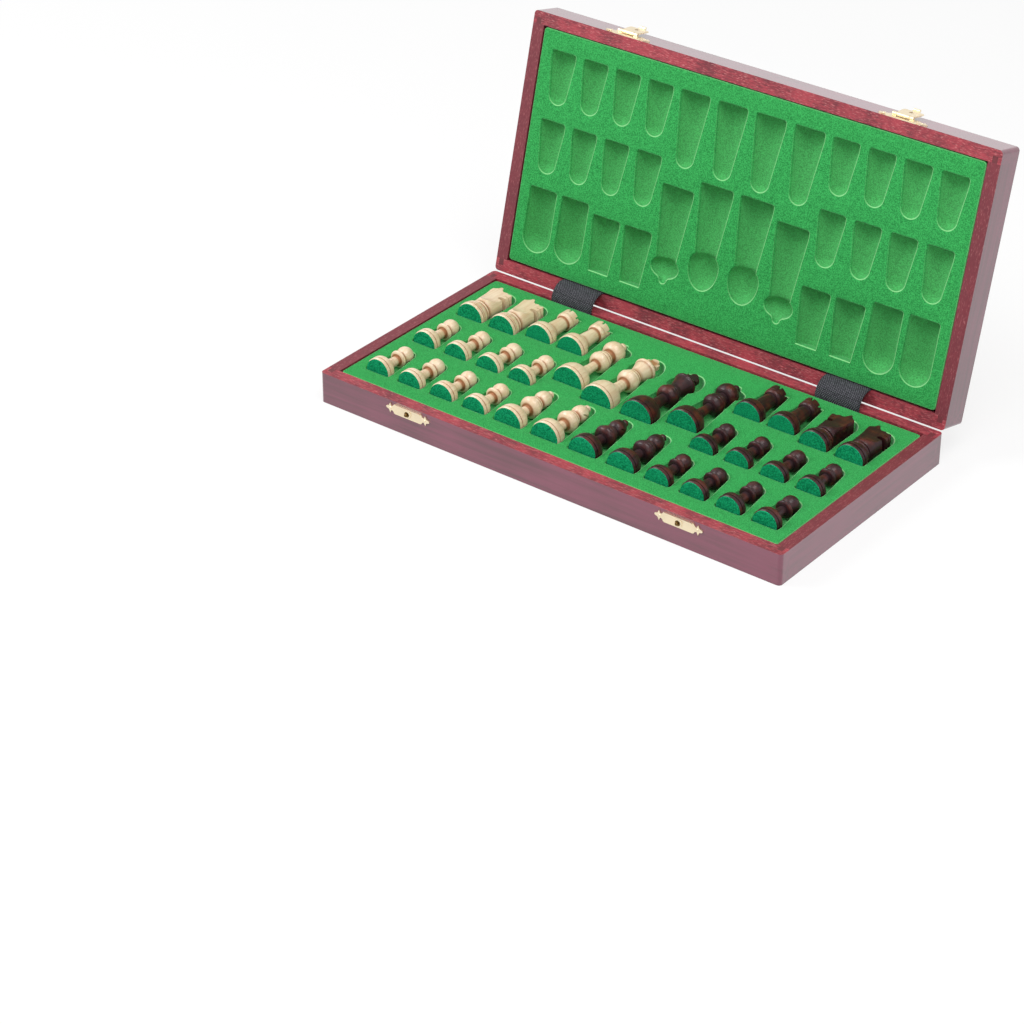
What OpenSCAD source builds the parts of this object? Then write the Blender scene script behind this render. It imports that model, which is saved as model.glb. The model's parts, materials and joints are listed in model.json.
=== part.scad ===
// Folding chess box: two shallow wooden halves joined by webbing straps, with the
// playing board on their outer faces, a formed tray in each and a full set of men.
// Millimetres. X runs along the hinge, +Y from the clasps to the hinge, +Z up.
// The origin is the middle of the base's underside. The lid is drawn standing open.

/* [Board] */
// Side of one square of the board
square_side = 40; // [39:0.5:44]
// Width of the narrow chequered strip around the squares
narrow_strip = 9; // [8:0.5:12]
// Width of the strip that holds the letters and numbers
label_strip = 19; // [17:0.5:22]
// Plain margin at the two short ends
end_margin = 15; // [13:0.5:20]
// Plain margin along the clasp edge
clasp_margin = 16; // [13:0.5:20]
// Plain margin along the hinge edge
hinge_margin = 2; // [1:0.5:6]
// Width of the burnt lines between the cells
line_width = 1.2; // [0.6:0.1:2]
// Depth of the burnt lines
line_depth = 0.3; // [0.2:0.05:0.5]
// Thickness of the light veneer
veneer = 0.6; // [0.5:0.1:1.2]

/* [Box] */
// Height of each half, from board face to rim
half_height = 24.5; // [23.5:0.5:30]
// Thickness of the wooden walls
wall = 10; // [8:0.5:11]
// Thickness of the board panel
panel = 3; // [2:0.25:4]
// Radius of the upright corners
corner_r = 3; // [1:0.5:5]
// Thickness of the tongues at the ends of the short walls
tongue = 4; // [2:0.5:5]
// Length of the tongues
tongue_length = 5; // [3:0.5:6]
// Play of a tongue in its groove
tongue_play = 0.1; // [0.05:0.05:0.3]
// Gap between the two rims when the box is shut
shut_gap = 0.6; // [0.4:0.1:1.5]
// Distance of the hinge line behind the back wall
hinge_setback = 0.5; // [0.5:0.1:1.5]
// Angle at which the lid stands open
open_angle = 104; // [60:1:160]

/* [Tray] */
// Drop of the tray's face below the rim
tray_drop = 0.6; // [0.5:0.1:2]
// Thickness of the formed sheet
sheet = 1.2; // [0.8:0.1:1.5]
// Gap between the tray and the walls
tray_gap = 0.6; // [0.4:0.1:1.5]
// Corner radius of the tray
tray_corner = 3; // [2:0.5:10]
// Play around the foot of a man in its pocket
foot_play = 0.8; // [0.5:0.1:1]
// Play behind the foot of a man in its pocket
heel_play = 1; // [0.8:0.1:1.3]
// Play around the head of a pawn, bishop, knight or rook
head_play = 1.2; // [0.6:0.1:1.4]
// Play around the collar of the queen and the king
collar_play = 0.4; // [0.3:0.1:1]
// Finger room around the heads of the queen and the king
finger_room = 3.8; // [2:0.2:4.2]
// From the tray's hinge edge to the tips of the knights' pockets
knight_row = 12.3; // [8:0.1:13]
// From the tray's hinge edge to the tips of the rooks' pockets
rook_row = 13.5; // [8:0.5:16]
// From the tray's hinge edge to the tips of the queens' pockets
queen_row = 22.4; // [14:0.1:26]
// From the tray's hinge edge to the tips of the kings' pockets
king_row = 27.1; // [18:0.1:28]
// From the tray's hinge edge to the tips of the bishops' pockets
bishop_row = 112.8; // [110:0.1:114]
// From the tray's hinge edge to the tips of the inner pawns' pockets
inner_pawn_row = 74.8; // [70:0.1:80]
// From the tray's hinge edge to the tips of the outer pawns' pockets
outer_pawn_row = 128.6; // [124:0.1:130]
// Middle of the tray to the nearest pawns
pawn_x = 81; // [80:0.5:82]
// Spacing of the pawns
pawn_pitch = 30; // [28:0.25:31]
// Middle of the tray to the nearest bishops
bishop_x = 16.7; // [15:0.1:18]
// Spacing of the bishops
bishop_pitch = 33.3; // [31:0.1:34]
// Middle of the tray to the nearest knights
knight_x = 139.5; // [138:0.5:142]
// Spacing of the knights
knight_pitch = 30.5; // [29:0.25:32]
// Middle of the tray to the nearest rooks
rook_x = 79.5; // [78.5:0.5:81]
// Spacing of the rooks
rook_pitch = 29.5; // [28:0.25:31]
// Middle of the tray to the queens
queen_x = 51; // [49:0.5:52]
// Middle of the tray to the kings
king_x = 17.8; // [17:0.2:19]

/* [Pawn] */
// Height of a pawn
pawn_height = 38.5; // [36:0.5:42]
// Radius of its foot
pawn_foot = 10.3; // [9:0.1:11]
// Radius of its ball
pawn_ball = 6.6; // [5.5:0.1:7.2]
// Spare length of its pocket
pawn_spare = 1; // [0.5:0.1:3]

/* [Bishop] */
// Height of a bishop
bishop_height = 54; // [52:0.5:56]
// Radius of its foot
bishop_foot = 12; // [11:0.1:12.5]
// Radius of its mitre
bishop_mitre = 6.4; // [5.6:0.1:7]
// Spare length of its pocket
bishop_spare = 1.5; // [0.5:0.1:3]

/* [Knight] */
// Height of a knight
knight_height = 46; // [44:0.5:50]
// Radius of its foot
knight_foot = 11.8; // [11:0.1:12.3]
// Width of its head
knight_width = 12; // [9:0.5:14]
// Spare length of its pocket
knight_spare = 3; // [0.5:0.1:4]

/* [Rook] */
// Height of a rook
rook_height = 41; // [38:0.5:44]
// Radius of its foot
rook_foot = 11.6; // [10.5:0.1:12.2]
// Radius of its crown
rook_crown = 7.4; // [6.5:0.1:8.5]
// Spare length of its pocket
rook_spare = 1; // [0.5:0.1:3]

/* [Queen] */
// Height of a queen
queen_height = 71.5; // [69:0.5:75]
// Radius of her foot
queen_foot = 13.2; // [12.4:0.1:13.4]
// Radius of her collar
queen_collar = 8.3; // [7.6:0.1:9]
// Radius of her crown
queen_crown = 9; // [8:0.1:9.6]
// Spare length of her pocket
queen_spare = 1.9; // [0.5:0.1:3]

/* [King] */
// Height of a king
king_height = 77; // [74:0.5:80]
// Radius of his foot
king_foot = 13.6; // [13:0.1:14]
// Radius of his collar
king_collar = 8.8; // [8:0.1:9.4]
// Radius of his crown
king_crown = 9.2; // [8:0.1:9.6]
// Spare length of his pocket
king_spare = 1.7; // [0.5:0.1:3]

/* [Turning] */
// Thickness of the felt under each man
felt = 1; // [0.6:0.1:1.5]
// Height of the upright band of each foot
foot_band = 4.4; // [3.6:0.1:5.5]
// Width and depth of the turned grooves
groove = 0.6; // [0.3:0.1:0.8]

/* [Straps] */
// Width of the webbing
strap_width = 38; // [20:1:60]
// Thickness of the webbing
strap_thick = 0.6; // [0.4:0.1:0.7]
// Middle of the box to the middle of each strap
strap_x = 120; // [80:1:150]
// Free length of the webbing on each side of its fold
strap_leaf = 10.5; // [8:0.5:12]
// Depth to which the ends are tucked in beside the trays
strap_tuck = 16; // [8:0.5:18]
// Clearance around the fold of the webbing
fold_gap = 0.2; // [0.1:0.05:0.3]

/* [Clasps] */
// Middle of the box to the middle of each clasp
clasp_x = 119.5; // [80:0.5:150]
// Length of the brass plates
plate_length = 40; // [36:0.5:50]
// Height of the plates
plate_height = 8.2; // [6.6:0.2:8.4]
// Thickness of the brass plates
plate_thick = 0.8; // [0.6:0.1:1]
// Radius of the pressed boss of the strike plate
boss_r = 3.4; // [2.4:0.1:3.6]
// Height of the nub on the boss, measured from the wall
nub_height = 3.8; // [3:0.1:5]
// Radius of the nub
nub_r = 1.2; // [0.8:0.1:1.6]
// Clearance around the nub in the hasp
nub_play = 0.4; // [0.3:0.1:0.8]
// From the lid's rim to the pin of the hasp
pin_from_rim = 4.2; // [4.2:0.1:6]
// Radius of the pin
pin_r = 0.6; // [0.4:0.05:0.8]
// Play of the pin in the barrels
pin_play = 0.1; // [0.05:0.01:0.2]
// Wall of the barrels
barrel_wall = 0.7; // [0.5:0.1:0.9]
// Width of each of the hasp plate's two loops
loop_width = 3.2; // [2:0.2:5]
// Gap between the loops and the hasp, and around the hasp
hasp_gap = 0.3; // [0.2:0.05:0.5]
// Width of the hasp at its pin
hasp_neck = 10.4; // [6:0.2:13]
// Width of the hasp at its straight edge
hasp_width = 16.6; // [14:0.2:20]
// Thickness of the hasp
hasp_thick = 0.8; // [0.6:0.1:1]
// From the pin to the middle of the hasp's hole
hasp_reach = 10.6; // [9.5:0.1:12]
// From the pin to the hasp's straight edge
hasp_edge = 15.4; // [14.6:0.1:17]
// Width of the finger tab
tab_width = 5.4; // [4:0.2:8]
// From the pin to the middle of the tab's curl
hasp_length = 18.6; // [17.5:0.1:20]
// Radius of the curl
curl_r = 1.1; // [0.8:0.1:1.3]
// Angle at which the raised hasps stand off the lid's wall
hasp_lean = 4; // [0:1:60]
// From the tips of the plates to their nails
nail_inset = 4.2; // [3.8:0.1:5]
// Radius of the nails
nail_r = 0.5; // [0.3:0.05:0.7]
// Radius of the nails' heads
nail_head = 1; // [0.8:0.1:1.3]
// Length of the nails
nail_length = 7; // [4:0.5:7.5]

/* [Hidden] */
FILES = 8;
HALF_RANKS = 4;
MEN = ["pawn_1", "pawn_2", "pawn_3", "pawn_4", "pawn_5", "pawn_6", "pawn_7", "pawn_8",
       "bishop_1", "bishop_2", "knight_1", "knight_2", "rook_1", "rook_2", "queen", "king"];

// Colours
stain = [0.42, 0.19, 0.20];
flock = [0.24, 0.69, 0.33];
light_wood = [0.92, 0.82, 0.70];
brass = [0.86, 0.78, 0.60];
webbing = [0.10, 0.10, 0.11];
felt_green = [0.02, 0.45, 0.32];
white_wood = [0.92, 0.84, 0.72];
black_wood = [0.22, 0.10, 0.09];

// Fineness of round shapes and of turned outlines
$fn = 48;
ARC_STEPS = 6;
BALL_STEPS = 12;
// How far a cutting solid runs past the face that it cuts
past = 1;
// Angle at which a dome or a crown runs out
DOME_END = 80;
CROWN_END = 84;

// Box, worked out from the board
box_length = FILES*square_side + 2*(narrow_strip + label_strip + end_margin);
box_depth = hinge_margin + HALF_RANKS*square_side + narrow_strip + label_strip + clasp_margin;
half_l = box_length/2;
half_d = box_depth/2;
hinge_y = half_d + hinge_setback;
hinge_z = half_height + shut_gap/2;

// Tray, seen from above in the base
tray_top = half_height - tray_drop;
tray_half_l = half_l - wall - tray_gap;
tray_front = -half_d + wall + tray_gap;
strap_slot = strap_thick + 2*fold_gap + tray_gap/2;
foot_room = heel_play + felt + foot_band;
tray_back = half_d - wall - strap_slot;

// Clasp, measured out from the wall and up from the base's underside
barrel_r = pin_r + pin_play + barrel_wall;
pin_out = plate_thick + barrel_r + hasp_gap;
pin_height = half_height + shut_gap + pin_from_rim;
strike_z = pin_height - hasp_reach;
strike_lip = pin_out - hasp_thick/2 - hasp_gap;

// Webbing: pivots of its two leaves, worked out from the open angle
strap_start_y = half_d - wall;
apex_y = strap_start_y + strap_leaf*-cos(open_angle);
apex_z = hinge_z + strap_leaf*sin(open_angle);

// Points of a round stretch of a turned outline, on a circle or an ellipse
function arc(r, z, wide, tall, from, to, steps = ARC_STEPS) =
    [for (i = [0:steps]) let (a = from + (to - from)*i/steps) [r + wide*cos(a), z + tall*sin(a)]];

// Outline of a foot: felt seat, two upright bands with a groove, and a dome up to the neck
function foot_outline(r, neck, dome_top) = concat(
    [[0, felt], [r - groove, felt], [r, felt + groove], [r, felt + foot_band/2],
     [r - groove, felt + foot_band/2 + groove/3], [r - groove, felt + foot_band/2 + groove],
     [r, felt + foot_band/2 + 4*groove/3]],
    arc(neck, felt + foot_band, r - neck, dome_top - felt - foot_band, 0, DOME_END));

// Outline of a hollow neck that rises from the dome to the waist
function neck_outline(neck, waist, dome_top, waist_z) =
    [for (i = [0:ARC_STEPS]) let (a = 90*i/ARC_STEPS)
        [neck - (neck - waist)*sin(a), waist_z - (waist_z - dome_top)*cos(a)]];

// Outline of a cup collar: round below, flat edge, sloping top
function collar_outline(waist, r, low, high, top_r) = concat(
    arc(waist, high, r - waist, low - high, 90, 0),
    [[r, high + groove], [top_r, high + 2*groove]]);

// Outline of a thin turned ring
function ring_outline(r, low, high) = concat([[r - groove, low]],
    arc(r - groove, (low + high)/2, groove, (high - low)/2, -90, 90), [[r - groove, high]]);

module turned(points) rotate_extrude() polygon(points);

module rounded_block(l, d, r, t) {
    translate([-l/2 + r, -d/2, 0]) cube([l - 2*r, d, t]);
    translate([-l/2, -d/2 + r, 0]) cube([l, d - 2*r, t]);
    for (x = [-1, 1], y = [-1, 1]) translate([x*(l/2 - r), y*(d/2 - r), 0]) cylinder(r = r, h = t);
}

// Turns a piece drawn for the base over into the shut lid, then swings it open
module as_lid() {
    translate([0, hinge_y, hinge_z]) rotate([-open_angle, 0, 0])
        translate([0, -hinge_y, hinge_z]) mirror([0, 0, 1]) children();
}

// ---- Wooden box, drawn for the base

module long_wall(side, nails = false) {
    difference() {
        intersection() {
            translate([0, 0, panel]) rounded_block(box_length, box_depth, corner_r, half_height - panel);
            translate([-half_l, side > 0 ? half_d - wall : -half_d, panel])
                cube([box_length, wall, half_height - panel]);
        }
        for (x = [-1, 1])
            translate([x*(half_l - wall/2) - tongue/2 - tongue_play,
                       side > 0 ? half_d - wall - past : -half_d + wall - tongue_length - tongue_play,
                       panel - past])
                cube([tongue + 2*tongue_play, tongue_length + tongue_play + past,
                      half_height - panel + 2*past]);
        if (nails) children();
    }
}

module short_wall(side) {
    inner_d = box_depth - 2*wall;
    translate([side > 0 ? half_l - wall : -half_l, -inner_d/2, panel])
        cube([wall, inner_d, half_height - panel]);
    translate([side*(half_l - wall/2) - tongue/2, -inner_d/2 - tongue_length, panel])
        cube([tongue, inner_d + 2*tongue_length, half_height - panel]);
}

// ---- Board face: columns along the hinge and rows away from it

function column_width(i) =
    i < -1 || i > FILES ? label_strip : i < 0 || i >= FILES ? narrow_strip : square_side;
function column_x(i) = i <= -2 ? end_margin - half_l : column_x(i - 1) + column_width(i - 1);
function row_width(j) =
    j > HALF_RANKS ? label_strip : j == HALF_RANKS ? narrow_strip : square_side;
function row_q(j) = j == 0 ? hinge_margin : row_q(j - 1) + row_width(j - 1);

// True where a cell is light; parity is 0 on the lid and 1 on the base
function is_light(i, j, parity) =
    let (label_column = i < -1 || i > FILES, label_row = j > HALF_RANKS)
    label_column && label_row ? ((i < 0 ? 0 : FILES - 1) + HALF_RANKS - 1)%2 == parity
    : label_column || label_row ? true
    : (i + j + 2)%2 == parity;

module light_cells(parity) {
    for (i = [-2:FILES + 1], j = [0:HALF_RANKS + 1])
        if (is_light(i, j, parity))
            translate([column_x(i) + line_width/2, half_d - row_q(j) - row_width(j) + line_width/2, 0])
                cube([column_width(i) - line_width, row_width(j) - line_width, veneer]);
}

module burnt_lines() {
    last = HALF_RANKS + 2;
    for (i = [-2:FILES + 2])
        translate([column_x(i) - line_width/2, half_d - row_q(last) - line_width/2, -past])
            cube([line_width, row_q(last) - hinge_margin + line_width, past + line_depth]);
    for (j = [0:last])
        translate([column_x(-2), half_d - row_q(j) - line_width/2, -past])
            cube([column_x(FILES + 2) - column_x(-2), line_width, past + line_depth]);
}

module board_panel(parity) {
    difference() {
        rounded_block(box_length, box_depth, corner_r, panel);
        light_cells(parity);
        burnt_lines();
    }
}

// ---- Tray: where each man lies, as [kind, x from the middle, tip from the hinge edge]

PLACES = concat(
    [for (i = [0:3]) ["pawn", pawn_x + i*pawn_pitch, outer_pawn_row]],
    [for (i = [0:3]) ["pawn", pawn_x + i*pawn_pitch, inner_pawn_row]],
    [for (i = [0:1]) ["bishop", bishop_x + i*bishop_pitch, bishop_row]],
    [for (i = [0:1]) ["knight", knight_x + i*knight_pitch, knight_row]],
    [for (i = [0:1]) ["rook", rook_x + i*rook_pitch, rook_row]],
    [["queen", queen_x, queen_row], ["king", king_x, king_row]]);

function pocket_length(kind) = heel_play + (
    kind == "pawn" ? pawn_height + pawn_spare
    : kind == "bishop" ? bishop_height + bishop_spare
    : kind == "knight" ? knight_height + knight_spare
    : kind == "rook" ? rook_height + rook_spare
    : kind == "queen" ? queen_height + queen_spare
    : king_height + king_spare);

function pocket_heel_y(place) = tray_back - place[2] - pocket_length(place[0]);

// Half outline of a pocket from its heel, grown outwards; first number is the radius.
// Around the foot it runs straight, so that the man can rise out of it
function bullet(foot, head, length, grow) = concat(
    [[0, -grow], [foot + grow, -grow], [foot + grow, foot_room]],
    arc(0, length - head, head + grow, head + grow, 0, 90, BALL_STEPS));

function pocket_outline(kind, grow) =
    let (length = pocket_length(kind))
    kind == "pawn" ? bullet(pawn_foot + foot_play, pawn_ball + head_play, length, grow)
    : kind == "bishop" ? bullet(bishop_foot + foot_play, bishop_mitre + head_play, length, grow)
    : kind == "knight" ? bullet(knight_foot + foot_play, knight_foot + foot_play, length, grow)
    : kind == "rook" ? [[0, -grow], [rook_foot + foot_play + grow, -grow],
                        [rook_foot + foot_play + grow, foot_room],
                        [rook_crown + head_play + grow, length + grow], [0, length + grow]]
    : kind == "queen" ? let (foot = queen_foot + foot_play + grow,
                             collar = queen_collar + collar_play + grow,
                             crown = queen_crown + finger_room + grow)
        [[0, -grow], [foot, -grow], [foot, foot_room], [collar, length - 21.5], [crown, length - 14],
         [crown, length - 11.5], [felt + grow, length + grow], [0, length + grow]]
    : let (crown = king_crown + finger_room)
        concat([[0, -grow], [king_foot + foot_play + grow, -grow],
                [king_foot + foot_play + grow, foot_room],
                [king_collar + collar_play + grow, length - 36], [crown + grow, length - 28]],
               arc(0, length - crown, crown + grow, crown + grow, 0, 90, BALL_STEPS));

// Lays something drawn along +Z down along +Y, with its foot at a pocket's heel
module at_heel(place, side) {
    translate([side*place[1], pocket_heel_y(place), tray_top]) rotate([-90, 0, 0]) children();
}

module tray() {
    difference() {
        union() {
            difference() {
                translate([0, (tray_front + tray_back)/2, panel])
                    rounded_block(2*tray_half_l, tray_back - tray_front, tray_corner, tray_top - panel);
                translate([0, (tray_front + tray_back)/2, panel - past])
                    rounded_block(2*(tray_half_l - sheet), tray_back - tray_front - 2*sheet,
                                  tray_corner - sheet, tray_top - panel - sheet + past);
            }
            for (side = [-1, 1], place = PLACES)
                at_heel(place, side) rotate_extrude(angle = 180) polygon(pocket_outline(place[0], sheet));
        }
        for (side = [-1, 1], place = PLACES)
            at_heel(place, side) rotate_extrude() polygon(pocket_outline(place[0], 0));
    }
}

// ---- Men, drawn standing on their felts

module pawn() {
    ball_z = pawn_height - pawn_ball;
    collar_z = ball_z - pawn_ball - 1.2;
    turned(concat(
        foot_outline(pawn_foot, 6.6, 10),
        neck_outline(6.4, 3.5, 10.4, collar_z - 1.6),
        collar_outline(3.5, pawn_ball + 0.2, collar_z - 1.6, collar_z, 4.4),
        arc(0, ball_z, pawn_ball, pawn_ball, -50, 90, BALL_STEPS)));
}

module bishop() {
    head_z = bishop_height - 18;
    slot_z = bishop_height - 11;
    difference() {
        turned(concat(
            foot_outline(bishop_foot, 6.2, 13.5),
            neck_outline(6, 3.6, 14, head_z - 12),
            collar_outline(3.6, 8.6, head_z - 12, head_z - 8, 5.8),
            ring_outline(7.4, head_z - 6.4, head_z - 3.6),
            ring_outline(6.2, head_z - 3, head_z - 1),
            arc(0, head_z + 5.6, bishop_mitre, 5.6, -55, 0),
            arc(2.2, head_z + 5.6, bishop_mitre - 2.2, 7.4, 0, DOME_END),
            arc(0, bishop_height - 2.9, 2.9, 2.9, -40, 90)));
        translate([2, -bishop_mitre, slot_z - 3]) rotate([0, 35, 0])
            cube([0.9, 2*bishop_mitre, bishop_mitre*2]);
    }
}

// Outline of a knight seen from the side, facing +X
function knight_outline(h) = [
    [-8, 12], [-7.4, 17], [-7.6, h - 24], [-9, h - 14], [-10, h - 7.2], [-8.2, h - 5.2],
    [-6.2, h - 3.4], [-4.4, h], [-2.6, h - 1.6], [-1.2, h - 5.4], [0.6, h - 6], [3.4, h - 5.4],
    [5.6, h - 7], [8.6, h - 7], [9.8, h - 10.5], [9.2, h - 13.6], [6.6, h - 13.8],
    [4.4, h - 12.8], [2.6, h - 15.6], [3.8, h - 22], [6.6, 18], [7.6, 12]];

module knight() {
    turned(concat(foot_outline(knight_foot, 8.6, 11.4), [[8.6, 11.6], [8.6, 13.4], [7.6, 14], [0, 14]]));
    difference() {
        intersection() {
            translate([0, knight_width/2, 0]) rotate([90, 0, 0])
                linear_extrude(height = knight_width) polygon(knight_outline(knight_height));
            translate([0, 0, felt]) cylinder(r = knight_foot - groove, h = knight_height);
        }
        // Saw cuts of the mane
        translate([-6.8, 0, 18]) rotate([0, -6, 0]) for (i = [0:8])
            translate([-6, -knight_width, i*2.4]) rotate([0, 10, 0]) cube([6, 2*knight_width, groove]);
    }
}

module rook() {
    crown_z = rook_height - 9.5;
    difference() {
        turned(concat(
            foot_outline(rook_foot, 7.6, 11.5),
            ring_outline(8, 11.8, 13.6),
            [[6.3, 14.4], [5.2, crown_z - 1]],
            arc(5.2, crown_z + 2.6, rook_crown - 5.2, -2.6, 90, 0),
            [[rook_crown, crown_z + 3.2], [rook_crown - groove, crown_z + 3.6],
             [rook_crown, crown_z + 4], [rook_crown, rook_height], [rook_crown - 2.4, rook_height],
             [rook_crown - 2.4, rook_height - 2.6], [0, rook_height - 2.6]]));
        for (a = [0:60:120])
            rotate([0, 0, a]) translate([-rook_crown - past, -0.8, rook_height - 2.6])
                cube([2*rook_crown + 2*past, 1.6, 2.6 + past]);
    }
}

module queen() {
    crown_z = queen_height - 19.5;
    turned(concat(
        foot_outline(queen_foot, 6.4, 16),
        neck_outline(6.2, 3.4, 16.5, crown_z - 17),
        collar_outline(3.4, queen_collar, crown_z - 17, crown_z - 12, 6.4),
        ring_outline(7.6, crown_z - 10.4, crown_z - 7.4),
        ring_outline(6.4, crown_z - 6.8, crown_z - 4.4),
        [[4.6, crown_z - 3.8], [4.4, crown_z]],
        arc(4.4, crown_z + 5, queen_crown - 4.4, -5, 90, 0),
        arc(2.2, crown_z + 5.4, queen_crown - 2.2, 7.6, 0, CROWN_END),
        arc(0, queen_height - 3.3, 3.3, 3.3, -48, 90)));
}

module king() {
    crown_z = king_height - 27;
    turned(concat(
        foot_outline(king_foot, 7.6, 18),
        neck_outline(7.4, 4, 18.5, crown_z - 15),
        collar_outline(4, king_collar, crown_z - 15, crown_z - 10, 7),
        ring_outline(7.8, crown_z - 8.4, crown_z - 5.6),
        ring_outline(6.6, crown_z - 5, crown_z - 2.6),
        [[5.4, crown_z - 2], [5.6, crown_z], [8.2, crown_z + 9]],
        arc(king_crown - 1.4, crown_z + 11, 1.4, 1.4, -50, 60),
        arc(2.4, crown_z + 12, king_crown - 3.4, 3.4, 14, CROWN_END),
        [[2.2, king_height - 9.6], [0, king_height - 9.6]]));
    translate([-5.2, -1.8, king_height - 8.6]) cube([10.4, 3.6, 4]);
    translate([-1.9, -1.8, king_height - 12]) cube([3.8, 3.6, 8]);
    translate([0, 0, king_height - 3.4]) intersection() {
        sphere(r = 3.4);
        translate([-4, -1.8, -4]) cube([8, 3.6, 8]);
    }
}

module man(kind) {
    if (kind == "pawn") pawn();
    if (kind == "bishop") bishop();
    if (kind == "knight") knight();
    if (kind == "rook") rook();
    if (kind == "queen") queen();
    if (kind == "king") king();
}

function foot_radius(kind) =
    kind == "pawn" ? pawn_foot : kind == "bishop" ? bishop_foot : kind == "knight" ? knight_foot
    : kind == "rook" ? rook_foot : kind == "queen" ? queen_foot : king_foot;

// Turn of each man about its own length as it lies. Knights lie on their cheeks, one of
// the black ones facing the other way
function roll(index, side) =
    PLACES[index][0] == "knight" ? (side > 0 && PLACES[index][1] == knight_x ? 180 : 0) : 47*index + 25;

module lying(index, side) {
    place = PLACES[index];
    at_heel(place, side) translate([0, 0, heel_play]) rotate([0, 0, roll(index, side)])
        children();
}

module lying_man(index, side) {
    color(side < 0 ? white_wood : black_wood) lying(index, side) man(PLACES[index][0]);
}

module felts(side) {
    color(felt_green) for (index = [0:len(PLACES) - 1])
        lying(index, side) cylinder(r = foot_radius(PLACES[index][0]) - groove, h = felt);
}

// ---- Webbing straps, in four pieces: tucked ends and the two leaves of the fold

module strap_pair() {
    for (x = [-strap_x, strap_x]) translate([x - strap_width/2, 0, 0]) children();
}

module strap_tabs() {
    color(webbing) strap_pair()
        translate([0, half_d - wall - fold_gap/2 - strap_thick, tray_top - strap_tuck])
            cube([strap_width, strap_thick, strap_tuck]);
}

module strap_leaf_plate(trim_start, trim_end) {
    translate([0, trim_start, fold_gap/2]) cube([strap_width, strap_leaf - trim_start - trim_end, strap_thick]);
}

module strap_lower_leaves() {
    color(webbing) strap_pair() translate([0, strap_start_y, hinge_z])
        rotate([180 - open_angle, 0, 0]) strap_leaf_plate(fold_gap, fold_gap/2);
}

module strap_upper_leaves() {
    color(webbing) strap_pair() translate([0, apex_y, apex_z]) strap_leaf_plate(fold_gap/2, fold_gap);
}

// ---- Clasps. Plates are drawn flat in X and Z, facing -Y, with their back at y = 0

// Half of a plate's pointed end, in halves of its height: [from the tip, from the middle line]
FLEUR = [[2.02, 1], [1.76, 0.88], [1.61, 0.6], [1.37, 0.42], [1.15, 0.44], [1.02, 0.74],
         [0.9, 1], [0.76, 0.66], [0.61, 0.38], [0.37, 0.3], [0.12, 0.22], [0, 0.08]];

// One corner of the plate's outline, mirrored to the other three
function plate_corner(x, z) = [for (p = FLEUR)
    [x*(plate_length/2 - p[0]*plate_height/2), z*p[1]*plate_height/2]];
function reversed(points) = [for (i = [len(points) - 1:-1:0]) points[i]];

plate_body = plate_length - 2*FLEUR[0][0]*plate_height/2;
nail_x = plate_length/2 - nail_inset;

module clasp_plate() {
    rotate([90, 0, 0]) difference() {
        linear_extrude(height = plate_thick) polygon(concat(
            plate_corner(1, 1), reversed(plate_corner(1, -1)),
            plate_corner(-1, -1), reversed(plate_corner(-1, 1))));
        for (side = [-1, 1])
            translate([side*nail_x, 0, -past]) cylinder(r = nail_r, h = plate_thick + 2*past);
    }
}

// A plate with a folded lip along its top and a pressed boss with a nub
module strike_plate() {
    clasp_plate();
    translate([-plate_body/2, -strike_lip, plate_height/2 - plate_thick])
        cube([plate_body, strike_lip, plate_thick]);
    rotate([90, 0, 0]) rotate_extrude() polygon(concat(
        [[0, 0], [boss_r, 0], [boss_r, plate_thick]],
        arc(nub_r + groove, plate_thick, boss_r - nub_r - groove, strike_lip - plate_thick, 30, 90),
        [[nub_r, strike_lip]],
        arc(nub_r - 0.5, nub_height - 0.5, 0.5, 0.5, 0, 90), [[0, nub_height]]));
}

module strike_plates() {
    color(brass) for (x = [-clasp_x, clasp_x]) translate([x, -half_d, strike_z]) strike_plate();
}

module nails_at(z) {
    for (x = [-clasp_x, clasp_x], side = [-1, 1])
        translate([x + side*nail_x, -half_d, z]) children();
}

module nail() {
    rotate([90, 0, 0]) {
        translate([0, 0, plate_thick - nail_length]) cylinder(r = nail_r, h = nail_length);
        translate([0, 0, plate_thick]) rotate_extrude()
            polygon(concat([[0, 0]], arc(0, 0, nail_head, nail_head/2, 0, 90)));
    }
}

module nail_holes(z) {
    nails_at(z) rotate([-90, 0, 0])
        translate([0, 0, -past]) cylinder(r = nail_r, h = nail_length - plate_thick + past);
}

// Height of the hasp plates in the lid when it is drawn as a base
hasp_plate_z = half_height - pin_from_rim;

// Lies along X, with its ends at the two given places
module barrel(from, to, r = barrel_r) {
    translate([from, 0, 0]) rotate([0, 90, 0]) cylinder(r = r, h = to - from);
}

module pin_bore() barrel(-hasp_width, hasp_width, pin_r + pin_play);

loop_start = hasp_neck/2 + hasp_gap;
loop_end = loop_start + loop_width;

module hasp_plate() {
    clasp_plate();
    translate([0, -pin_out, 0]) difference() {
        for (side = [-1, 1]) {
            start = side > 0 ? loop_start : -loop_end;
            barrel(start, start + loop_width);
            translate([start, 0, -barrel_wall]) cube([loop_width, pin_out, 2*barrel_wall]);
        }
        pin_bore();
    }
}

// Right half of the hasp's sheet from the pin down, with two notches in its side
function hasp_side(x) = let (edge = hasp_width/2, top = barrel_r + hasp_gap) [
    [x*hasp_neck/2, 0], [x*hasp_neck/2, -top], [x*(edge - 0.6), -top - 3.2], [x*(edge - 0.5), -6.6],
    [x*(edge - 1.1), -7], [x*(edge - 0.4), -7.4], [x*(edge - 0.3), -9], [x*(edge - 0.9), -9.4],
    [x*(edge - 0.2), -9.8], [x*edge, -11.4], [x*edge, 1 - hasp_edge], [x*(edge - 1), -hasp_edge],
    [x*tab_width/2, -hasp_edge], [x*tab_width/2, -hasp_length]];

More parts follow.
